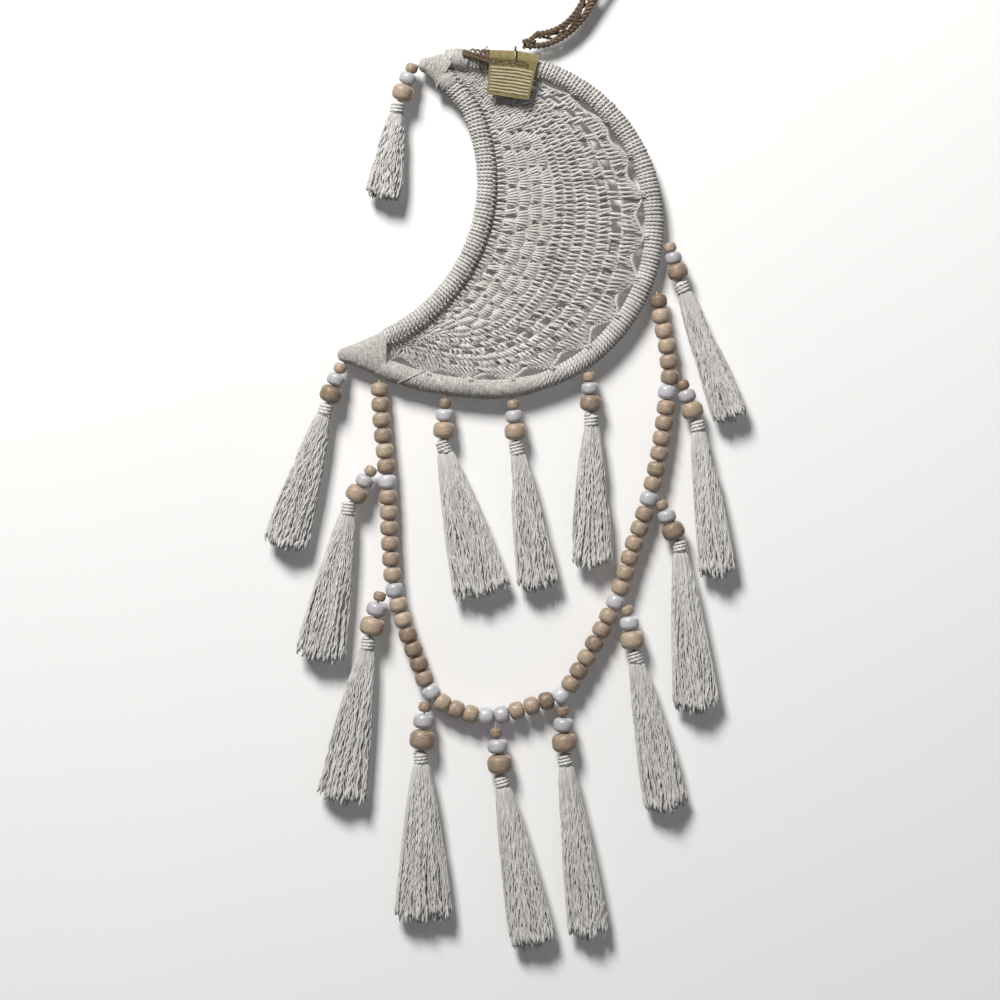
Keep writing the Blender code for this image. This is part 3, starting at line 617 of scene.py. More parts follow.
def horn(build, mouth, mouth_w, tip, tip_w, face, seed=0.0, sides=52, rows=90):
    """Flattened cone of close winding over both wires, rounded at the tip."""
    mouth, tip = np.array(mouth), np.array(tip)
    axis = tip - mouth
    length = np.linalg.norm(axis)
    axis = axis / length
    face = np.array(face)
    phi = np.arange(sides) * TAU / sides
    v, fibs, tints = [], [], []
    noise = RNG.normal(0, 1, (rows, sides))
    for _ in range(2):
        noise = (noise + np.roll(noise, 1, 1) + np.roll(noise, -1, 1)) / 3
        noise[1:-1] = (noise[1:-1] + noise[2:] + noise[:-2]) / 3
    for i in range(rows):
        x = i / (rows - 1)
        reach = x * (length + tip_w * 0.98)
        share = min(reach / length, 1.0)
        w = mouth_w + (tip_w - mouth_w) * share ** 0.8
        d = -MID_Y - 0.05 - 0.9 * share
        if reach > length:
            k = math.sqrt(max(0.0, 1 - ((reach - length) / tip_w) ** 2))
            w, d = w * k, d * k
        blend = max(0.0, 1 - 2 * share)
        h = face * blend + axis * (1 - blend)
        h = h / np.linalg.norm(h)
        side = np.array([-h[1], h[0]])
        c = mouth + axis * reach
        rib = 0.06 * np.sin(TAU * reach / 2.1 + phi) + noise[i] * 0.40
        # a stadium, not an ellipse: full depth over most of the width
        cw = np.sign(np.cos(phi)) * np.abs(np.cos(phi)) ** 0.9
        sd = np.sign(np.sin(phi)) * np.abs(np.sin(phi)) ** 0.75
        ww, dd = max(w + 0.1, 0.05), max(d, 0.05)
        xz = c + side * ((cw * (ww + rib * min(1, ww / 3)))[:, None])
        v.append(lift(xz, MID_Y + sd * (dd + rib * 0.9 * min(1, dd / 3))))
        fibs.append(np.stack([np.full(sides, reach * 1.5 + seed), np.cos(phi) * 1.8, np.sin(phi) * 1.8], -1))
        tints.append(0.5 + noise[i] * 0.5)
    build.grid(np.array(v), np.array(tints).ravel(), np.array(fibs).reshape(-1, 3), wrap=True)


# ------------------------------------------------------------------ moon: wraps
def build_wraps():
    first, last = mouth_span(OUTER)
    # the close-wound stretch runs along the bottom of the big arc, up to the lower horn
    probe = np.linspace(first, last, 1500)
    pts = OUTER.at(probe)
    seam = probe[(pts[:, 0] > 8.0) & (pts[:, 1] < -150)][-1]
    b = Build()
    cord_wrap(b, OUTER, first - 5.0, seam + 16.0, seed=1.0, fade=(seam - 26.0, seam + 16.0))
    b.make("outer_wrap_cord", COTTON, "moon", ["outer_arc_wrap"], "cotton_wrap")
    b = Build()
    smooth_wrap(b, OUTER, seam - 8.0, last + 3.0, seed=2.0, grow=22.0)
    b.make("outer_wrap_close", SMOOTH, "moon", ["outer_arc_wrap"], "cotton_wrap")
    b = Build()
    point = probe[(pts[:, 0] > -67.5) & (pts[:, 1] < -150)][-1]
    seam_sleeve(b, OUTER, point, last + 4.0)
    b.make("seam_sleeve_wrap", SMOOTH, "moon", [], "tip_wrap")
    first_i, last_i = mouth_span(INNER)
    b = Build()
    cord_wrap(b, INNER, first_i - 2.0, last_i + 1.0, seed=3.0)
    b.make("inner_wrap_cord", COTTON, "moon", ["inner_arc_wrap"], "cotton_wrap")
    # the layer of cord that shows between the turns, tinted a little darker as painted shade in the grooves
    b = Build()
    for path, a, z in ((OUTER, first - 4.0, last + 2.0), (INNER, first_i - 2.0, last_i + 1.0)):
        s = np.linspace(a, z, 260)
        b.tube(lift(path.at(s), MID_Y), 4.9, 16, tint=0.35)
    b.make("wrap_core", COTTON, "moon", [], "cotton_wrap")
    b = Build()
    smooth_wrap(b, OUTER, first - 6.0, first + 9.0, radius=6.95, seed=6.0, grow=8.0)
    smooth_wrap(b, INNER, first_i - 3.0, first_i + 7.0, radius=6.95, seed=7.0, grow=5.0)
    horn(b, TOP_MOUTH, TOP_MOUTH_W, TOP_TIP, TOP_TIP_W, TOP_FACE, 4.0)
    b.make("upper_horn_wrap", SMOOTH, "moon", ["upper_tip_wrap"], "tip_wrap")
    b = Build()
    horn(b, LOW_MOUTH, LOW_MOUTH_W, LOW_TIP, LOW_TIP_W, LOW_FACE, 5.0)
    b.make("lower_horn_wrap", SMOOTH, "moon", ["lower_tip_wrap"], "tip_wrap")


# ------------------------------------------------------------------ moon: crochet
def web_edges():
    def shifted(path, distance):
        first, last = mouth_span(path)
        s = np.linspace(first - 2.5, last + 2.5, 900)
        p, t = path.at(s), path.tangent(s)
        return Path(np.stack([p[:, 0] - t[:, 1] * distance, p[:, 1] + t[:, 0] * distance], 1))

    outer, inner = shifted(OUTER, -(WRAP_R + GAP)), shifted(INNER, WRAP_R + GAP)
    return (outer, 0.0, outer.length), (inner, 0.0, inner.length)


WEB_OUT, WEB_IN = web_edges()


SHARE = np.linspace(0, 1, 120)
FULL = np.linalg.norm(WEB_IN[0].at(WEB_IN[2] * SHARE) - WEB_OUT[0].at(WEB_OUT[2] * SHARE), axis=1)


def squeeze(u, v):
    """Towards the lower horn the outer rows hold their width and the inner rows give way."""
    width = np.interp(u, SHARE, FULL)
    part = np.clip((u - 0.62) / 0.30, 0, 1) * 0.75
    kept = 1 - (1 - v) * 78.0 / np.maximum(width, 8.0)
    kept = np.where(kept > 0.12, kept, 0.12 * np.exp(np.minimum((kept - 0.12) / 0.5, 0)) * np.clip(v * 6, 0, 1))
    return np.where(width < 78.0, v + (kept - v) * part, v)


def web(u, v, y=0.0):
    """Point of the crochet at share u from the upper horn to the lower, v from the inner arc to the outer."""
    u, v = np.broadcast_arrays(np.asarray(u, float), np.asarray(v, float))
    v = squeeze(u, v)
    a = WEB_IN[0].at(WEB_IN[1] + (WEB_IN[2] - WEB_IN[1]) * np.clip(u, 0, 1))
    b = WEB_OUT[0].at(WEB_OUT[1] + (WEB_OUT[2] - WEB_OUT[1]) * np.clip(u, 0, 1))
    p = a + (b - a) * v[..., None]
    return np.stack([p[..., 0], MID_Y + np.broadcast_to(y, p[..., 0].shape), p[..., 1]], -1)


def web_width(u):
    a, b = web(u, 0.0), web(u, 1.0)
    return np.linalg.norm(a - b, axis=-1)


def row_length(v):
    p = web(np.linspace(0, 1, 200), v)
    return np.linalg.norm(np.diff(p, axis=0), axis=1).sum()


def thick(u):
    return np.clip(web_width(u) / 62.0, 0.42, 1.0)


def chain_line(b, v_of_u, loops, u0=0.0, u1=1.0, amp=0.8, radius=0.62, lift_y=0.35, per=7):
    """The braid along the top of a row: two strands that cross at every stitch."""
    m = max(int(loops * per * (u1 - u0)), 8)
    u = np.linspace(u0, u1, m)
    width = web_width(u)
    k = thick(u)
    wob = np.interp(u, np.linspace(u0, u1, 60), RNG.normal(0, 0.35, 60))
    for side in (0, 1):
        ph = TAU * loops * u + math.pi * side
        v = v_of_u(u) + (amp * np.sin(ph) + wob) * k / width
        y = lift_y - 0.55 * np.cos(ph) * k
        b.tube(web(u, v, y), radius * k, 5, tint=0.5 + RNG.normal(0, 0.05), twist=0.8, seed=RNG.random() * 30)


def posts(b, u_low, v_low, u_top, v_top, radius=1.1, bow=0.9, tint=0.5, back=0.25):
    """Stitches standing across a row, fatter at the middle and bowed towards the front."""
    u_low, u_top = np.asarray(u_low, float), np.asarray(u_top, float)
    n = len(u_low)
    if n == 0:
        return
    t = np.linspace(0, 1, 8)[None]
    u = u_low[:, None] + (u_top - u_low)[:, None] * t
    v_low, v_top = np.broadcast_to(v_low, (n,)), np.broadcast_to(v_top, (n,))
    v = v_low[:, None] + (v_top - v_low)[:, None] * t
    k = thick(0.5 * (u_low + u_top))[:, None]
    y = -np.broadcast_to(np.asarray(bow, float), (n,))[:, None] * np.sin(np.pi * t) * k \
        + back + RNG.normal(0, 0.24, (n, 1))
    P = web(u, v, y)
    # a stitch is two strands that cross once, not a rod
    side = unit(np.cross(P[:, -1] - P[:, 0], np.array([0.0, 1.0, 0.0])))[:, None]
    tints = tint + RNG.normal(0, 0.13, n)
    for strand in (0, 1):
        turn = (t * 1.15 * math.pi + strand * math.pi + 0.4)[..., None]
        off = side * np.cos(turn) * 0.52 * k[..., None] + np.array([0, 1.0, 0]) * np.sin(turn) * 0.5 * k[..., None]
        r = radius * 0.74 * k * (0.82 + 0.30 * np.sin(np.pi * t))
        b.tubes(P + off, r, 5, tint=tints + strand * 0.04, twist=1.1)


def build_web():
    rows = (0.0, 0.075, 0.155, 0.235, 0.315, 0.395, 0.47, 0.545, 0.62, 0.70, 0.775, 0.86)
    pieces = [Build() for _ in range(5)]
    lap = 0.011

    def edge(v):
        return lambda u: np.full_like(u, v)

    for number, (v0, v1) in enumerate(zip(rows, rows[1:])):
        b = pieces[0 if number < 3 else (1 if number < 6 else (2 if number < 9 else 3))]
        length = row_length(0.5 * (v0 + v1))
        # the backs of the stitches, seen through the gaps; their very dark tint is painted shade inside the holes
        if True:
            n = int(length / 2.4)
            u = (np.arange(n) + 0.5) / n
            keep = (u > 0.01) & (u < 0.99)
            # left open behind the eyelets of the front layer
            beat = (u * int(length / 2.75)) % 5
            if number == 10:
                keep &= ~((u > 0.10) & (u < 0.48) & (beat < 3.0))
            if number == 9:
                keep &= ~((u > 0.12) & (u < 0.40) & (beat > 3.0))
            if number == 8:
                keep &= ~((u > 0.60) & (beat > 1.0) & (beat < 3.0))
            if number == 7:
                keep &= ~((u > 0.68) & (beat > 3.2) & (beat < 4.8))
            if number in (1, 2, 3, 4):
                # the shells stand on a full second layer, leaning the other way, tinted a little darker as painted
                # shade
                posts(b, u[keep], v0, np.clip(u[keep] + (1.1 - 2.2 * (np.arange(keep.sum()) % 2)) / n, 0, 1), v1,
                      radius=0.95, bow=0.0, tint=0.42, back=0.75)
            # painted shade: this deepest layer is tinted dark so the holes read as shadowed
            posts(b, u[keep], v0, u[keep] + RNG.normal(0, 0.4, keep.sum()) / n, v1, radius=0.9,
                  bow=0.0, tint=0.16, back=1.6)
        if number in (1, 2, 3, 4):
            # shells: stitches that spread from one hole, each row set half a shell along from the last
            fans = int(length / 12.0)
            for k in range(-1, fans + 1):
                c = (k + 0.5 + 0.5 * (number % 2) + RNG.normal(0, 0.05)) / fans
                half = 0.5 / fans
                share = np.linspace(-0.9, 0.9, 6)
                low = c + share * half * 0.62
                top = c + share * half * 1.02
                keep = (top > 0.008) & (top < 0.992) & (low > 0.004) & (low < 0.996)
                if number == 1 and 0.44 < c < 0.86:
                    keep &= np.abs(share) > 0.3
                arch = v1 + lap + 0.012 * np.cos(share * 1.5)
                posts(b, low[keep], v0 - lap * 0.6, top[keep], arch[keep], radius=1.12,
                      bow=(0.7 + 1.0 * np.cos(share * 1.4))[keep])
            chain_line(b, lambda u, v1=v1, fans=fans, s=0.5 * (number % 2):
                       v1 + 0.014 * np.abs(np.sin(math.pi * (u * fans - s))) - 0.002,
                       length / 3.6, radius=0.7, lift_y=-0.1)
            continue
        count = int(length / 2.75)
        u = (np.arange(count) + 0.5) / count
        low = u + RNG.normal(0, 0.14, count) / count
        top = u + (RNG.normal(0, 0.22, count) + 0.35 * (-1) ** number) / count
        keep = (low > 0.006) & (low < 0.994)
        thickness = 1.16
        if number == 8:
            # a row of eyelets through the lower half; above it the holes shrink away
            beat = np.arange(count) % 5
            keep &= ~((u > 0.60) & ((beat == 1) | (beat == 2)))
        if number == 7:
            beat = np.arange(count) % 5
            keep &= ~((u > 0.66) & ((beat == 3) | (beat == 4)))
        if number == 10:
            beat = np.arange(count) % 5
            keep &= ~((u > 0.09) & (u < 0.50) & (beat < 3)) & ~((u >= 0.50) & (beat == 2) & (u < 0.9))
            thickness = 1.3
        if number == 9:
            beat = np.arange(count) % 5
            keep &= ~((u > 0.11) & (u < 0.42) & ((beat == 3) | (beat == 4)))
            thickness = 1.2
        posts(b, low[keep], v0 - lap, top[keep], v1 + lap, radius=thickness,
              bow=0.8 + 0.5 * (np.arange(keep.sum()) % 2))
        chain_line(b, edge(v1), length / 3.3)
    # scalloped last row, caught on the big arc at each point
    b = pieces[4]
    scallops = 15
    length = row_length(0.93)

    def rim(u):
        dip = 6.0 * np.abs(np.sin(math.pi * scallops * u)) ** 1.8 * np.clip(web_width(u) / 90, 0.25, 1.0)
        return 1.0 - dip / web_width(u) + 0.004

    count = int(length / 3.1)
    u = (np.arange(count) + 0.5) / count
    keep = (u > 0.006) & (u < 0.994)
    keep &= ~((u > 0.10) & (u < 0.56) & (np.arange(count) % 7 == 3))
    near = np.round(u * scallops) / scallops
    posts(b, u[keep], rows[-1] - lap, (u + (near - u) * 0.20)[keep], rim(u)[keep], radius=1.12)
    n = int(length / 3.4)
    w = (np.arange(n) + 0.5) / n
    w = w[(w > 0.02) & (w < 0.98)]
    # painted shade: the stitches behind the scallops are tinted dark so the gaps under the rim read as shadowed
    posts(b, w, rows[-1], w, rim(w) - 0.01, radius=0.8, bow=0.0, tint=0.22, back=1.2)
    chain_line(b, rim, length / 3.4, 0.004, 0.996, radius=0.8)
    # lacing: a few turns of yarn from each point round the arc
    loops = []
    for k in range(1, scallops):
        c = k / scallops
        for d in (-0.9, 0.3):
            p = web(c + d / length * 0.9, 0.985)
            q = web(c + d / length * 1.1, 1.0)
            n = unit((q - p) * np.array([1, 0, 1]))
            # over the front of the wrap and out of sight behind it
            a = np.radians(np.linspace(-25, 52, 9))
            centre = q + n * (WRAP_R + GAP)
            path = centre - n * np.cos(a)[:, None] * (WRAP_R + 0.25) \
                + np.array([0, -1.0, 0]) * np.sin(a)[:, None] * (WRAP_R + 0.25)
            loops.append(path)
    b.tubes(np.array(loops), 0.6, 5, tint=0.42 + RNG.normal(0, 0.05, len(loops)), twist=0.9)
    # first row stitched over the small arc
    count = int(row_length(0.0) / 3.2)
    u = np.linspace(0.02, 0.98, count)
    p, q = web(u, 0.02), web(u, 0.0)
    n = unit((q - p) * np.array([1, 0, 1]))
    a = np.radians(np.linspace(-10, 48, 7))[None, :, None]
    centre = (q + n * (WRAP_R + GAP))[:, None]
    path = centre - n[:, None] * np.cos(a) * (WRAP_R + 0.2) + np.array([0, -1.0, 0]) * np.sin(a) * (WRAP_R + 0.2)
    pieces[0].tubes(path, 0.72, 5, tint=0.45, twist=0.9)
    chain_line(pieces[0], edge(0.004), row_length(0.0) / 3.2, 0.01, 0.99)
    for k, b in enumerate(pieces):
        b.make("crochet_rows_%d" % (k + 1), CROCHET, "moon", ["crochet_web"], "crochet")


# ------------------------------------------------------------------ beads
def bead(b, centre, axis, half, radius, bore, tint, segs=24, wobble=0.015):
    """A turned bead with flat ends and a drilled hole."""
    out = []
    for s in (-1.0, -0.985, -0.94, -0.84, -0.68, -0.45, -0.2, 0.0, 0.2, 0.45, 0.68, 0.84, 0.94, 0.985, 1.0):
        r = radius * (1 - (abs(s) * 0.955) ** 3.4) ** 0.44
        out.append((s * half, max(r, bore + 0.9)))
    out += [(half * 0.97, bore + 0.25), (half * 0.82, bore), (-half * 0.82, bore), (-half * 0.97, bore + 0.25)]
    axis = np.asarray(axis, float) + RNG.normal(0, wobble * 2, 3)
    b.lathe(np.asarray(centre, float), axis, out, segs, tint=tint, seed=RNG.random() * 60, spin=RNG.random() * TAU)


def build_garland():
    path = Path(spline(DRAPE, 10))
    beads = sum(NATURAL_RUNS) + len(NATURAL_RUNS) - 1
    first = 5.6
    pitch = (path.length - first - 5.4) / (beads - 1)
    b = Build()
    s = np.linspace(0, path.length, 260)
    b.ply(lift(path.at(s), GARLAND_Y), 0.35, 0.55, 3.0, tint=0.5)
    b.make("garland_thread", WAXED, "garland", ["garland_cord"], "garland_thread")
    place = 0
    for number, run in enumerate(NATURAL_RUNS):
        if run:
            b = Build()
            for k in range(run):
                # the two end beads give the frame room when the garland swings
                last = (place + k == beads - 1)
                end = place + k == 0 or last
                at = first + pitch * (place + k) + (0.45 if end else 0.0) * (-1 if last else 1)
                c, t = path.at(at), path.tangent(at, 3.0)
                size = 1 + RNG.normal(0, 0.012)
                c = lift(c, GARLAND_Y) + RNG.normal(0, 0.10, 3)
                bead(b, c, (t[0], 0, t[1]), pitch / 2 * (0.88 if end else 0.975), BEAD_R * size * (0.96 if end else 1.0), 1.15,
                     float(np.clip(RNG.normal(0.5, 0.09), 0.25, 0.75)))
            b.make("garland_beads_" + RUN_NAMES[number], WOOD, "garland", ["beads_" + RUN_NAMES[number]],
                   "natural_wood")
        place += run
        if number < len(NATURAL_RUNS) - 1:
            at = first + pitch * place
            c, t = path.at(at), path.tangent(at, 3.0)
            b = Build()
            bead(b, lift(c, GARLAND_Y), (t[0], 0, t[1]), pitch / 2 * 0.96, BEAD_R, 1.15, 0.5 + RNG.normal(0, 0.08))
            b.make("garland_white_%d" % (number + 1), PAINTED, "garland", ["white_bead_%d" % (number + 1)],
                   "white_wood")
            place += 1


# ------------------------------------------------------------------ tassels
def lean(degrees):
    return np.array([math.sin(math.radians(degrees)), -math.cos(math.radians(degrees))])


def strand_bundle(b, neck, fall, length, half_w, seed, bulk=1.0, cut=False):
    """Loose crimped strands from the neck, spreading to the width of the skirt, each ending in a small knot."""
    rng = np.random.default_rng(seed)
    side = np.array([fall[1], -fall[0]]) * -1.0
    n = int((120 + half_w * 7.0) * bulk)
    m = 44
    t = np.linspace(0, 1, m)[None]
    # even cover of the flat oval section
    a = np.arange(n) * 2.39996
    rad = np.sqrt((np.arange(n) + 0.5) / n)
    ox, oy = (rad * np.cos(a))[:, None], (rad * np.sin(a))[:, None]
    long = (length * (1 + rng.normal(0, 0.022, n) - 0.035 * np.abs(ox[:, 0]) ** 2))[:, None]
    w = 3.3 + (half_w * 0.93 - 3.3) * np.clip(t * 1.25, 0, 1) ** 0.62
    d = 3.3 + (SKIRT_DEPTH - 1.6 - 3.3) * t ** 0.5
    drift = rng.normal(0, 0.13, (n, 1)) * t ** 1.4
    x = (ox + drift) * w
    # broad bends shared by neighbours, then the tight crimp of each strand
    phase = rng.random((n, 1)) * TAU
    locks = np.sin(t * 7.5 + ox * 3.1 + seed) * 0.9 + np.sin(t * 13.0 - ox * 4.3 + seed * 1.7) * 0.5
    crimp = long / (4.0 + rng.random((n, 1)) * 9.0)
    amp = rng.uniform(0.22, 0.62, (n, 1))
    wander = 0.8 * np.sin(t * (5 + rng.random((n, 1)) * 6) + rng.random((n, 1)) * TAU) * t ** 0.7
    fade = np.clip(t * 5, 0, 1)
    x = x + (locks * 0.9 + wander + amp * np.sin(TAU * crimp * t + phase)) * fade
    y = oy * d + (amp * 0.8 * np.cos(TAU * crimp * t + phase) + rng.normal(0, 0.3, (n, 1)) * t) * fade
    # strands keep to the outline the tassel swings with, but for a little fullness half way down
    reach_w = NECK_R + (half_w - NECK_R) * t ** 0.85 + 0.4 * np.sin(math.pi * np.clip(t, 0, 1)) - 0.1
    reach_d = NECK_R + (SKIRT_DEPTH - NECK_R) * t ** 0.6 - 0.3
    over = np.maximum(np.sqrt((x / reach_w) ** 2 + (y / reach_d) ** 2), 1.0)
    x, y = x / over, y / over
    along = NECK_LEN - NECK_R - 1.2 + (long + 1.2) * t
    P = np.stack([neck[0] + fall[0] * along + side[0] * x, TASSEL_Y + y,
                  neck[1] + fall[1] * along + side[1] * x], -1)
    # each strand a little thicker or thinner than the next, swelling with its crimp
    r = 0.56 + rng.normal(0, 0.06, (n, 1)) + 0.0 * t
    r = r * (1 + 0.10 * np.sin(TAU * crimp * t * 2 + phase))
    knot = np.exp(-((t - 0.965) / 0.014) ** 2)
    r = r * (1 - 0.5 * np.clip((t - 0.98) / 0.02, 0, 1)) + rng.uniform(0.30, 0.70, (n, 1)) * knot
    b.tubes(P, r, 5, tint=0.5 + rng.normal(0, 0.15, n), twist=1.3)


def build_tassel(number):
    small, head_lean, skirt_lean, spacing, length, half_w = TASSELS[number]
    small = np.array(small)
    head, fall = lean(head_lean), lean(skirt_lean)
    size = 1 + (spacing - 1) * 0.8
    key = int(number)
    b = Build()
    end = 0.0
    for place, radius, half, painted in ((0.0, SMALL_R, SMALL_HALF, False),
                                         (SMALL_TO_WHITE * spacing, WHITE_R * size, WHITE_HALF * size, True),
                                         ((SMALL_TO_WHITE + WHITE_TO_LARGE) * spacing, LARGE_R * size,
                                          LARGE_HALF * size, False)):
        b.m = 1 if painted else 0
        c = small + head * place
        bead(b, lift(c, TASSEL_Y), (head[0], 0, head[1]), half * 1.03, radius, 1.0,
             float(np.clip(RNG.normal(0.46 if not painted else 0.5, 0.08), 0.25, 0.75)), segs=28, wobble=0.03)
        end = place + half
    b.m = 2
    s = np.linspace(-SMALL_HALF, end + 1.5, 24)[:, None]
    b.ply(lift(small + head * s, TASSEL_Y), 0.3, 0.5, 3.0)
    b.make("tassel_%s_bead_set" % number, [WOOD, PAINTED, WAXED], "tassel_%s_head" % number,
           ["tassel_%s_beads" % number], "tassel_beads")
    neck = small + head * (end + GAP + NECK_R)
    b = Build()
    # strands folded over the thread make the round top of the neck
    side = np.array([fall[1], -fall[0]])
    n, m = 22, 12
    a = (np.arange(n) * math.pi / n)[:, None]
    el = np.radians(np.linspace(0, 180, m))[None]
    r = 3.55 + RNG.normal(0, 0.10, (n, 1))
    hor = r * np.cos(el)
    up = 3.7 * np.sin(el)
    P = np.stack([neck[0] + side[0] * hor * np.cos(a) - fall[0] * up, TASSEL_Y + hor * np.sin(a),
                  neck[1] + side[1] * hor * np.cos(a) - fall[1] * up], -1)
    drop = np.array([fall[0], 0, fall[1]]) * (NECK_LEN - NECK_R - 0.5)
    P = np.concatenate([P[:, :1] + drop, P, P[:, -1:] + drop], 1)
    b.tubes(P, 0.78, 5, tint=0.5 + RNG.normal(0, 0.1, n), twist=1.1)
    # binding: turns of cord round the neck
    turns = 3.3
    q = np.linspace(0, 1, 64)
    ang = TAU * turns * q + key
    base = -2.9 + 7.2 * q
    rad = 3.85 + 0.12 * np.sin(ang * 3)
    P = np.stack([neck[0] + fall[0] * base + side[0] * rad * np.cos(ang), TASSEL_Y + rad * np.sin(ang),
                  neck[1] + fall[1] * base + side[1] * rad * np.cos(ang)], -1)
    b.ply(P, 0.42, 0.80, 5.0, tint=0.62)
    strand_bundle(b, neck, fall, length, half_w, 100 + key)
    b.make("tassel_%s_strands" % number, STRAND, "tassel_%s_fall" % number, ["tassel_%s_skirt" % number],
           "tassel_cotton")


def build_threads():
    """Short ties that hold each tassel's first bead to the frame or to the garland."""
    path = Path(spline(DRAPE, 10))
    s = np.linspace(0, path.length, 800)
    drape = path.at(s)
    frame_b, garland_b = Build(), Build()
    outer_s = np.linspace(0, OUTER.length, 1200)
    outer_p = OUTER.at(outer_s)
    for number, row in TASSELS.items():
        small = np.array(row[0])
        line, b = (outer_p, frame_b) if number in FRAME_HUNG else (drape, garland_b)
        near = line[np.argmin(np.linalg.norm(line - small, axis=1))]
        a = np.array([small[0], TASSEL_Y, small[1]])
        z = np.array([near[0], MID_Y if number in FRAME_HUNG else GARLAND_Y, near[1]])
        q = np.linspace(0, 1, 14)[:, None]
        p = a + (z - a) * q
        for sgn in (-1, 1):
            bow = np.array([0, sgn * 0.5, 0]) * np.sin(math.pi * q)
            b.ply(p + bow, 0.28, 0.42, 2.6)
    frame_b.make("tassel_ties_frame", WAXED, "moon", [], "garland_thread")
    garland_b.make("tassel_ties_garland", WAXED, "garland", [], "garland_thread")


# ------------------------------------------------------------------ cord, tag
def build_cord():
    line = spline(HANG_LOOP, 10)
    p = Path(line)
    s = np.linspace(0, p.length, 420)
    xz = p.at(s)
    y = MID_Y + 0.5 * np.sin(s / 13.0)
    b = Build()
    b.ply(lift(xz, y), 1.12, 1.12, 6.4, plies=2, sides=7, tint=0.55)
    # loose plies lie between the two strands up to where the loop opens, and bind them into one ragged band
    half = p.length / 2
    for j in range(5):
        a0, a1 = 1.5 + 2.0 * j, 46.0 + 7.0 * (j % 3)
        sa = np.linspace(a0, a1, 150)
        low, high = p.at(sa), p.at(p.length - sa)
        mixr = 0.5 + 0.42 * np.sin(sa / (5.5 + j) + j * 1.9)
        mid = low + (high - low) * mixr[:, None]
        b.ply(lift(mid, MID_Y - 0.5 * math.cos(j) - 0.9 * np.cos(sa / (5.5 + j) + j * 1.9)), 0.42, 0.62, 5.0,
              sides=6, tint=0.5 + 0.08 * (j - 2))
    # overhand knot that gathers both ends
    t = np.linspace(0, TAU, 90)
    k = np.array(HANG_KNOT)
    trefoil = np.stack([k[0] + 2.4 + 1.55 * (np.sin(t) + 1.5 * np.sin(2 * t)) * 0.72,
                        MID_Y - 1.55 * np.sin(3 * t),
                        k[1] + 2.0 + 1.45 * (np.cos(t) - 1.5 * np.cos(2 * t)) * 0.72], 1)
    b.ply(trefoil, 0.85, 1.0, 6.0, sides=7, tint=0.5)
    for z0, z1 in ((13.0, 13.0), (20.8, 14.5)):
        q = np.linspace(0, 1, 24)[:, None]
        start = np.array([7.8, MID_Y, z0 if z0 < 15 else 20.6])
        p3 = start + (np.array([k[0], MID_Y - 0.8, z1]) - start) * q
        b.ply(p3, 0.95, 0.98, 6.4, sides=7, tint=0.5)
    # blunt cut end and one loose ply standing up from it
    q = np.linspace(0, 1, 20)
    for j in range(6):
        end = np.array([-1.6 + RNG.normal(0, 0.35), MID_Y - 0.6 + RNG.normal(0, 0.9), 14.2 + 1.15 * (j - 2.5)])
        a = np.array([k[0] + 3.0, MID_Y - 0.6, k[1] + 1.6 + 0.5 * (j - 2.5)])
        p3 = a + (end - a) * q[:, None]
        b.tube(p3, 0.72 - 0.05 * q, 6, tint=0.5 + RNG.normal(0, 0.08))
    a = np.array([k[0] + 3.0, MID_Y - 1.5, k[1] + 4.0])
    p3 = a + np.array([3.6, -0.4, 5.4]) * q[:, None]
    p3[:, 0] += 1.4 * np.sin(math.pi * q)
    b.tube(p3, 0.6 * (1 - 0.4 * q), 6, tint=0.6)
    b.make("hanging_cord_twist", BROWN, "hanging_loop", ["hanging_cord"], "brown_cord")

    b = Build()
    total = OUTER.length
    where = total * TIE_AT
    # turns round the frame, then a strand that runs along its top
    for k, (ds, slant, gap, thick_r) in enumerate(((-4.4, 5.6, 0.30, 0.42), (-1.0, 6.2, 0.34, 0.46),
                                                   (2.4, 5.2, 0.60, 0.66), (5.0, 2.2, 0.55, 0.62))):
        a = np.radians(np.linspace(38, 252, 60))
        s = where + ds + slant * np.linspace(-1, 1, 60)
        c, t = OUTER.at(s), OUTER.tangent(s)
        across = np.stack([-t[:, 1], t[:, 0]], 1)
        r = WRAP_R + 0.9
        y = np.minimum(MID_Y + r * np.cos(a), -1.2)
        y = np.where(np.arange(60) < 3, y + 0.6, y)
        b.ply(lift(c + across * (r * np.sin(a))[:, None], y), gap, thick_r, 4.4, sides=6, tint=0.45, seed=k)
    # a flat band laid along the front of the wrap, sinking towards the tag
    for k, (a0, a1, off) in enumerate(((196, 150, 0.0), (184, 141, 0.5), (206, 160, 0.3))):
        s = np.linspace(where - 13, where + 13, 50)
        c, t = OUTER.at(s), OUTER.tangent(s)
        across = np.stack([-t[:, 1], t[:, 0]], 1)
        a = np.radians(np.linspace(a1, a0, 50) + 4 * np.sin(np.linspace(0, 5, 50) + k))
        r = WRAP_R + 1.25 + off * 0.4
        b.ply(lift(c + across * (r * np.sin(a))[:, None], MID_Y + r * np.cos(a)), 0.62, 0.72, 4.4, sides=6,
              tint=0.42)
    # fine thread end lying on top of the cotton
    q = np.linspace(0, 1, 16)[:, None]
    p3 = np.array([-29.7, -14.6, 6.4]) + np.array([5.2, 1.2, 5.4]) * q
    b.tube(p3, 0.32, 5, tint=0.3)
    b.make("cord_tie_turns", BROWN, "moon", ["cord_tie"], "brown_cord")


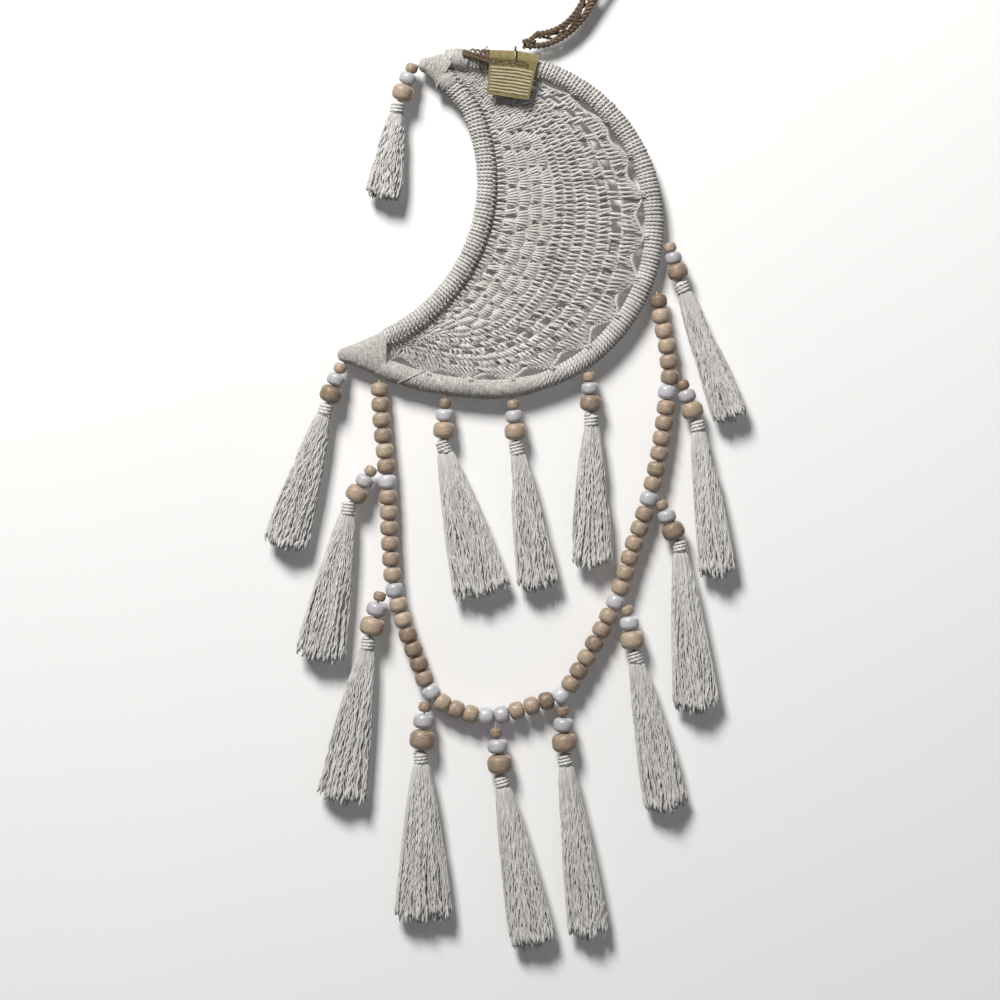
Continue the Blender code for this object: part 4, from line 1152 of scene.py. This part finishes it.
def build_tag():
    """Stiff kraft card with a folded top, cut corners and a little curl."""
    cols, rows = 34, 36
    u = np.linspace(0, 1, cols)
    v = np.linspace(0, 1, rows)
    c = [np.array(p) for p in TAG_CORNERS]
    top = Path(np.array([c[0], c[1], c[2]])).at(u * Path(np.array([c[0], c[1], c[2]])).length)
    low = c[4] + (c[3] - c[4]) * u[:, None]
    grid = low[None] + (top - low)[None] * v[:, None, None]
    curl = 0.55 * (2 * u - 1) ** 2 - 0.7 * (v[:, None] - 0.72).clip(0) * 2 + 0.35 * np.sin(3 * u + 1)
    front = lift(grid, TAG_Y - TAG_T / 2 + 0.25 - curl * 0.8)
    back = front + np.array([0, TAG_T, 0])
    b = Build()
    # printed side and back carry their place on the card, in millimetres
    U, V = np.meshgrid(u * 32.0, v * 31.0)
    place = np.stack([U, V, np.zeros_like(U)], -1)
    b.grid(front, 0.5, place)
    b.m = 1
    b.grid(back[:, ::-1], 0.5, place)
    rim_f = np.concatenate([front[0], front[1:, -1], front[-1, ::-1][1:], front[::-1, 0][1:]])
    rim_b = np.concatenate([back[0], back[1:, -1], back[-1, ::-1][1:], back[::-1, 0][1:]])
    b.grid(np.stack([rim_b, rim_f]), 0.4)
    # the fold: a lip of card turned down over the top edge
    lip_v = np.linspace(0.80, 1.0, 9)
    lip = low[None] + (top - low)[None] * lip_v[:, None, None]
    out = np.array([0.0, 0.32, 0.42, 0.45, 0.45, 0.45, 0.42, 0.30, 0.0]) + 0.06
    curl2 = 0.55 * (2 * u - 1) ** 2 - 0.7 * (lip_v[:, None] - 0.72).clip(0) * 2 + 0.35 * np.sin(3 * u + 1)
    sheet = lift(lip, TAG_Y - TAG_T / 2 + 0.25 - curl2 * 0.8 - out[:, None])
    b.grid(sheet, 0.62, None)
    # metal eyelet's place: a pin across it
    pin = np.array([[TAG_HOLE[0] - 0.2 + dx, TAG_Y - 1.7, TAG_HOLE[1] + 3.6 - dz] for dx, dz in
                    ((0, 0), (0.1, 1.2), (0.2, 2.6), (0.1, 4.2))])
    b.m = 2
    b.tube(pin, 0.5, 6, tint=0.9)
    b.make("swing_tag_card", [CARD, CARD_PLAIN, WAXED], "tag", ["swing_tag"], "kraft_card")
    b = Build()
    line = spline(STRING_LOOP, 8)
    p = np.stack([np.full(len(line), TAG_HOLE[0]) + 0.4 * np.sin(np.linspace(0, 6, len(line))),
                  line[:, 0], line[:, 1]], 1)
    b.ply(p, 0.2, 0.34, 2.2, tint=0.5)
    b.make("tag_thread", THREAD, "string", ["tag_string"], "dark_thread")


def card_material():
    m = Nodes("kraft_card")
    place = m.attr("fib").outputs["Vector"]
    obj = m.new("ShaderNodeTexCoord").outputs["Object"]
    sep = m.new("ShaderNodeSeparateXYZ")
    m.link(place, sep.inputs[0])
    X, Y = sep.outputs[0], sep.outputs[1]
    fibres = m.noise(m.scaled(obj, 400, 400, 1400), 1.0, 4.0, 0.65)
    blot = m.noise(obj, 120.0, 3.0, 0.5)
    f = m.math("ADD", m.math("MULTIPLY", fibres, 0.6), m.math("MULTIPLY", blot, 0.4))
    kraft = m.ramp(f, [(0.3, (0.13, 0.10, 0.036)), (0.55, (0.225, 0.185, 0.075)), (0.8, (0.33, 0.28, 0.13))])
    # generic ruled lines, slightly wavy
    wob = m.noise(m.scaled(place, 0.14, 0.5, 1.0), 1.0, 2.0, 0.5)
    yy = m.math("ADD", Y, m.math("MULTIPLY", wob, 1.1))
    stripe = m.math("SINE", m.math("MULTIPLY", yy, TAU / 2.25))
    ink = m.math("GREATER_THAN", stripe, -0.02)
    inside = m.math("MULTIPLY", m.math("LESS_THAN", Y, 20.0), m.math("GREATER_THAN", Y, 1.6))
    inside = m.math("MULTIPLY", inside, m.math("GREATER_THAN", X, 1.6))
    inside = m.math("MULTIPLY", inside, m.math("LESS_THAN", X, 30.4))
    pale = m.mix(m.math("MULTIPLY", inside, 0.85), kraft, (0.50, 0.45, 0.28))
    colour = m.mix(m.math("MULTIPLY", m.math("MULTIPLY", ink, inside), 0.88), pale, (0.065, 0.05, 0.02))
    # the darker band over the ruled panel
    band = m.math("MULTIPLY", m.math("GREATER_THAN", Y, 20.4), m.math("LESS_THAN", Y, 24.6))
    band = m.math("MULTIPLY", band, m.math("LESS_THAN", X, 27.0))
    broken = m.math("GREATER_THAN", m.noise(m.scaled(place, 0.55, 0.9, 1.0), 1.0, 1.0, 0.4), 0.44)
    colour = m.mix(m.math("MULTIPLY", m.math("MULTIPLY", band, broken), 0.8), colour, (0.05, 0.038, 0.018))
    normal = m.bump(fibres, 0.35, 0.0003)
    return m.out(colour, 0.78, normal, **{"Specular IOR Level": 0.3})


def plain_card_material():
    m = Nodes("kraft_card_plain")
    obj = m.new("ShaderNodeTexCoord").outputs["Object"]
    fibres = m.noise(m.scaled(obj, 400, 400, 1400), 1.0, 4.0, 0.65)
    kraft = m.ramp(fibres, [(0.3, (0.17, 0.13, 0.05)), (0.55, (0.28, 0.225, 0.10)), (0.8, (0.40, 0.33, 0.16))])
    return m.out(kraft, 0.8, m.bump(fibres, 0.35, 0.0003), **{"Specular IOR Level": 0.3})


def wire_material():
    m = Nodes("drawn_wire")
    obj = m.new("ShaderNodeTexCoord").outputs["Object"]
    f = m.noise(m.scaled(obj, 900, 900, 900), 1.0, 4.0, 0.7)
    colour = m.ramp(f, [(0.3, (0.16, 0.13, 0.11)), (0.6, (0.36, 0.35, 0.34)), (0.85, (0.52, 0.52, 0.53))])
    rough = m.math("ADD", m.math("MULTIPLY", f, 0.35), 0.25)
    return m.out(colour, rough, m.bump(f, 0.2, 0.0002), Metallic=0.9)


CARD, CARD_PLAIN, WIRE = card_material(), plain_card_material(), wire_material()


# ------------------------------------------------------------------ stage
def stage_material(name, colour, see_through=False):
    m = Nodes(name)
    obj = m.new("ShaderNodeTexCoord").outputs["Object"]
    f = m.noise(obj, 3.0, 2.0, 0.5)
    c = m.ramp(f, [(0.3, tuple(x * 0.985 for x in colour)), (0.7, colour)])
    m.out(c, 0.9)
    if see_through:
        geo = m.new("ShaderNodeNewGeometry")
        path = m.new("ShaderNodeLightPath")
        clear = m.new("ShaderNodeBsdfTransparent")
        mixer = m.new("ShaderNodeMixShader")
        m.link(geo.outputs["Backfacing"], mixer.inputs[0])
        m.link(m.bsdf.outputs[0], mixer.inputs[1])
        m.link(clear.outputs[0], mixer.inputs[2])
        m.link(mixer.outputs[0], m.nt.nodes["Material Output"].inputs["Surface"])
    return m.mat


def plane(name, corners, mat):
    mesh = bpy.data.meshes.new(name)
    mesh.from_pydata(corners, [], [(0, 1, 2, 3)])
    mesh.materials.append(mat)
    obj = bpy.data.objects.new(name, mesh)
    bpy.context.scene.collection.objects.link(obj)
    # the paper is seen, and takes shadows, without throwing light back into the crevices
    obj.visible_diffuse = False
    return obj


def build_stage():
    y, z = 0.0025, -0.62
    wall = stage_material("backdrop_paper", (0.93, 0.925, 0.92), True)
    floor = stage_material("floor_paper", (0.93, 0.925, 0.92))
    screen = plane("backdrop", [(-3, y, z), (3, y, z), (3, y, 3), (-3, y, 3)], wall)
    screen.visible_shadow = False
    plane("floor", [(-3, -4, z), (3, -4, z), (3, 4, z), (-3, 4, z)], floor)


def area(name, place, target, size, power, colour=(1, 1, 1)):
    data = bpy.data.lights.new(name, "AREA")
    data.shape = "RECTANGLE"
    data.size, data.size_y = size
    data.energy = power
    data.color = colour
    obj = bpy.data.objects.new(name, data)
    obj.location = place
    obj.rotation_euler = (Vector(target) - Vector(place)).to_track_quat("-Z", "Y").to_euler()
    bpy.context.scene.collection.objects.link(obj)


def build_lights():
    centre = (-0.0165, 0.0, -0.25)
    area("key", (-0.85, -1.75, 1.75), centre, (0.80, 0.80), 108.0, (1.0, 0.985, 0.96))
    area("fill", (0.7, -1.9, -0.5), centre, (1.4, 1.4), 2.2, (0.95, 0.97, 1.0))
    # lights the reverse side; the backdrop lets it through
    area("back_fill", (0.9, 1.9, 0.7), centre, (1.2, 1.2), 22.0, (1.0, 1.0, 1.0))
    world = bpy.data.worlds.new("studio")
    world.use_nodes = True
    nt = world.node_tree
    back = nt.nodes["Background"]
    back.inputs["Color"].default_value = (0.95, 0.96, 1.0, 1.0)
    # pale studio to the eye, low ambient light on the object
    ray = nt.nodes.new("ShaderNodeLightPath")
    level = nt.nodes.new("ShaderNodeMath")
    level.operation = "MULTIPLY_ADD"
    nt.links.new(ray.outputs["Is Camera Ray"], level.inputs[0])
    level.inputs[1].default_value = 0.66
    level.inputs[2].default_value = 0.14
    nt.links.new(level.outputs[0], back.inputs["Strength"])
    bpy.context.scene.world = world


def build_camera():
    data = bpy.data.cameras.new("camera")
    data.sensor_width = 36.0
    data.lens = 36.0 * (2.0 - 0.0066) / 0.66
    cam = bpy.data.objects.new("camera", data)
    cam.location = (-0.0165, -2.0, -0.2867)
    cam.rotation_euler = (math.radians(90), 0, 0)
    bpy.context.scene.collection.objects.link(cam)
    bpy.context.scene.camera = cam


def main():
    build_wraps()
    build_web()
    build_garland()
    for number in TASSELS:
        build_tassel(number)
    build_threads()
    build_cord()
    build_tag()
    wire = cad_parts["moon_frame_wire"]
    wire.data.materials.clear()
    wire.data.materials.append(WIRE)
    build_stage()
    build_lights()
    build_camera()
    bpy.context.scene.view_settings.view_transform = "Standard"
    bpy.context.view_layer.update()


main()
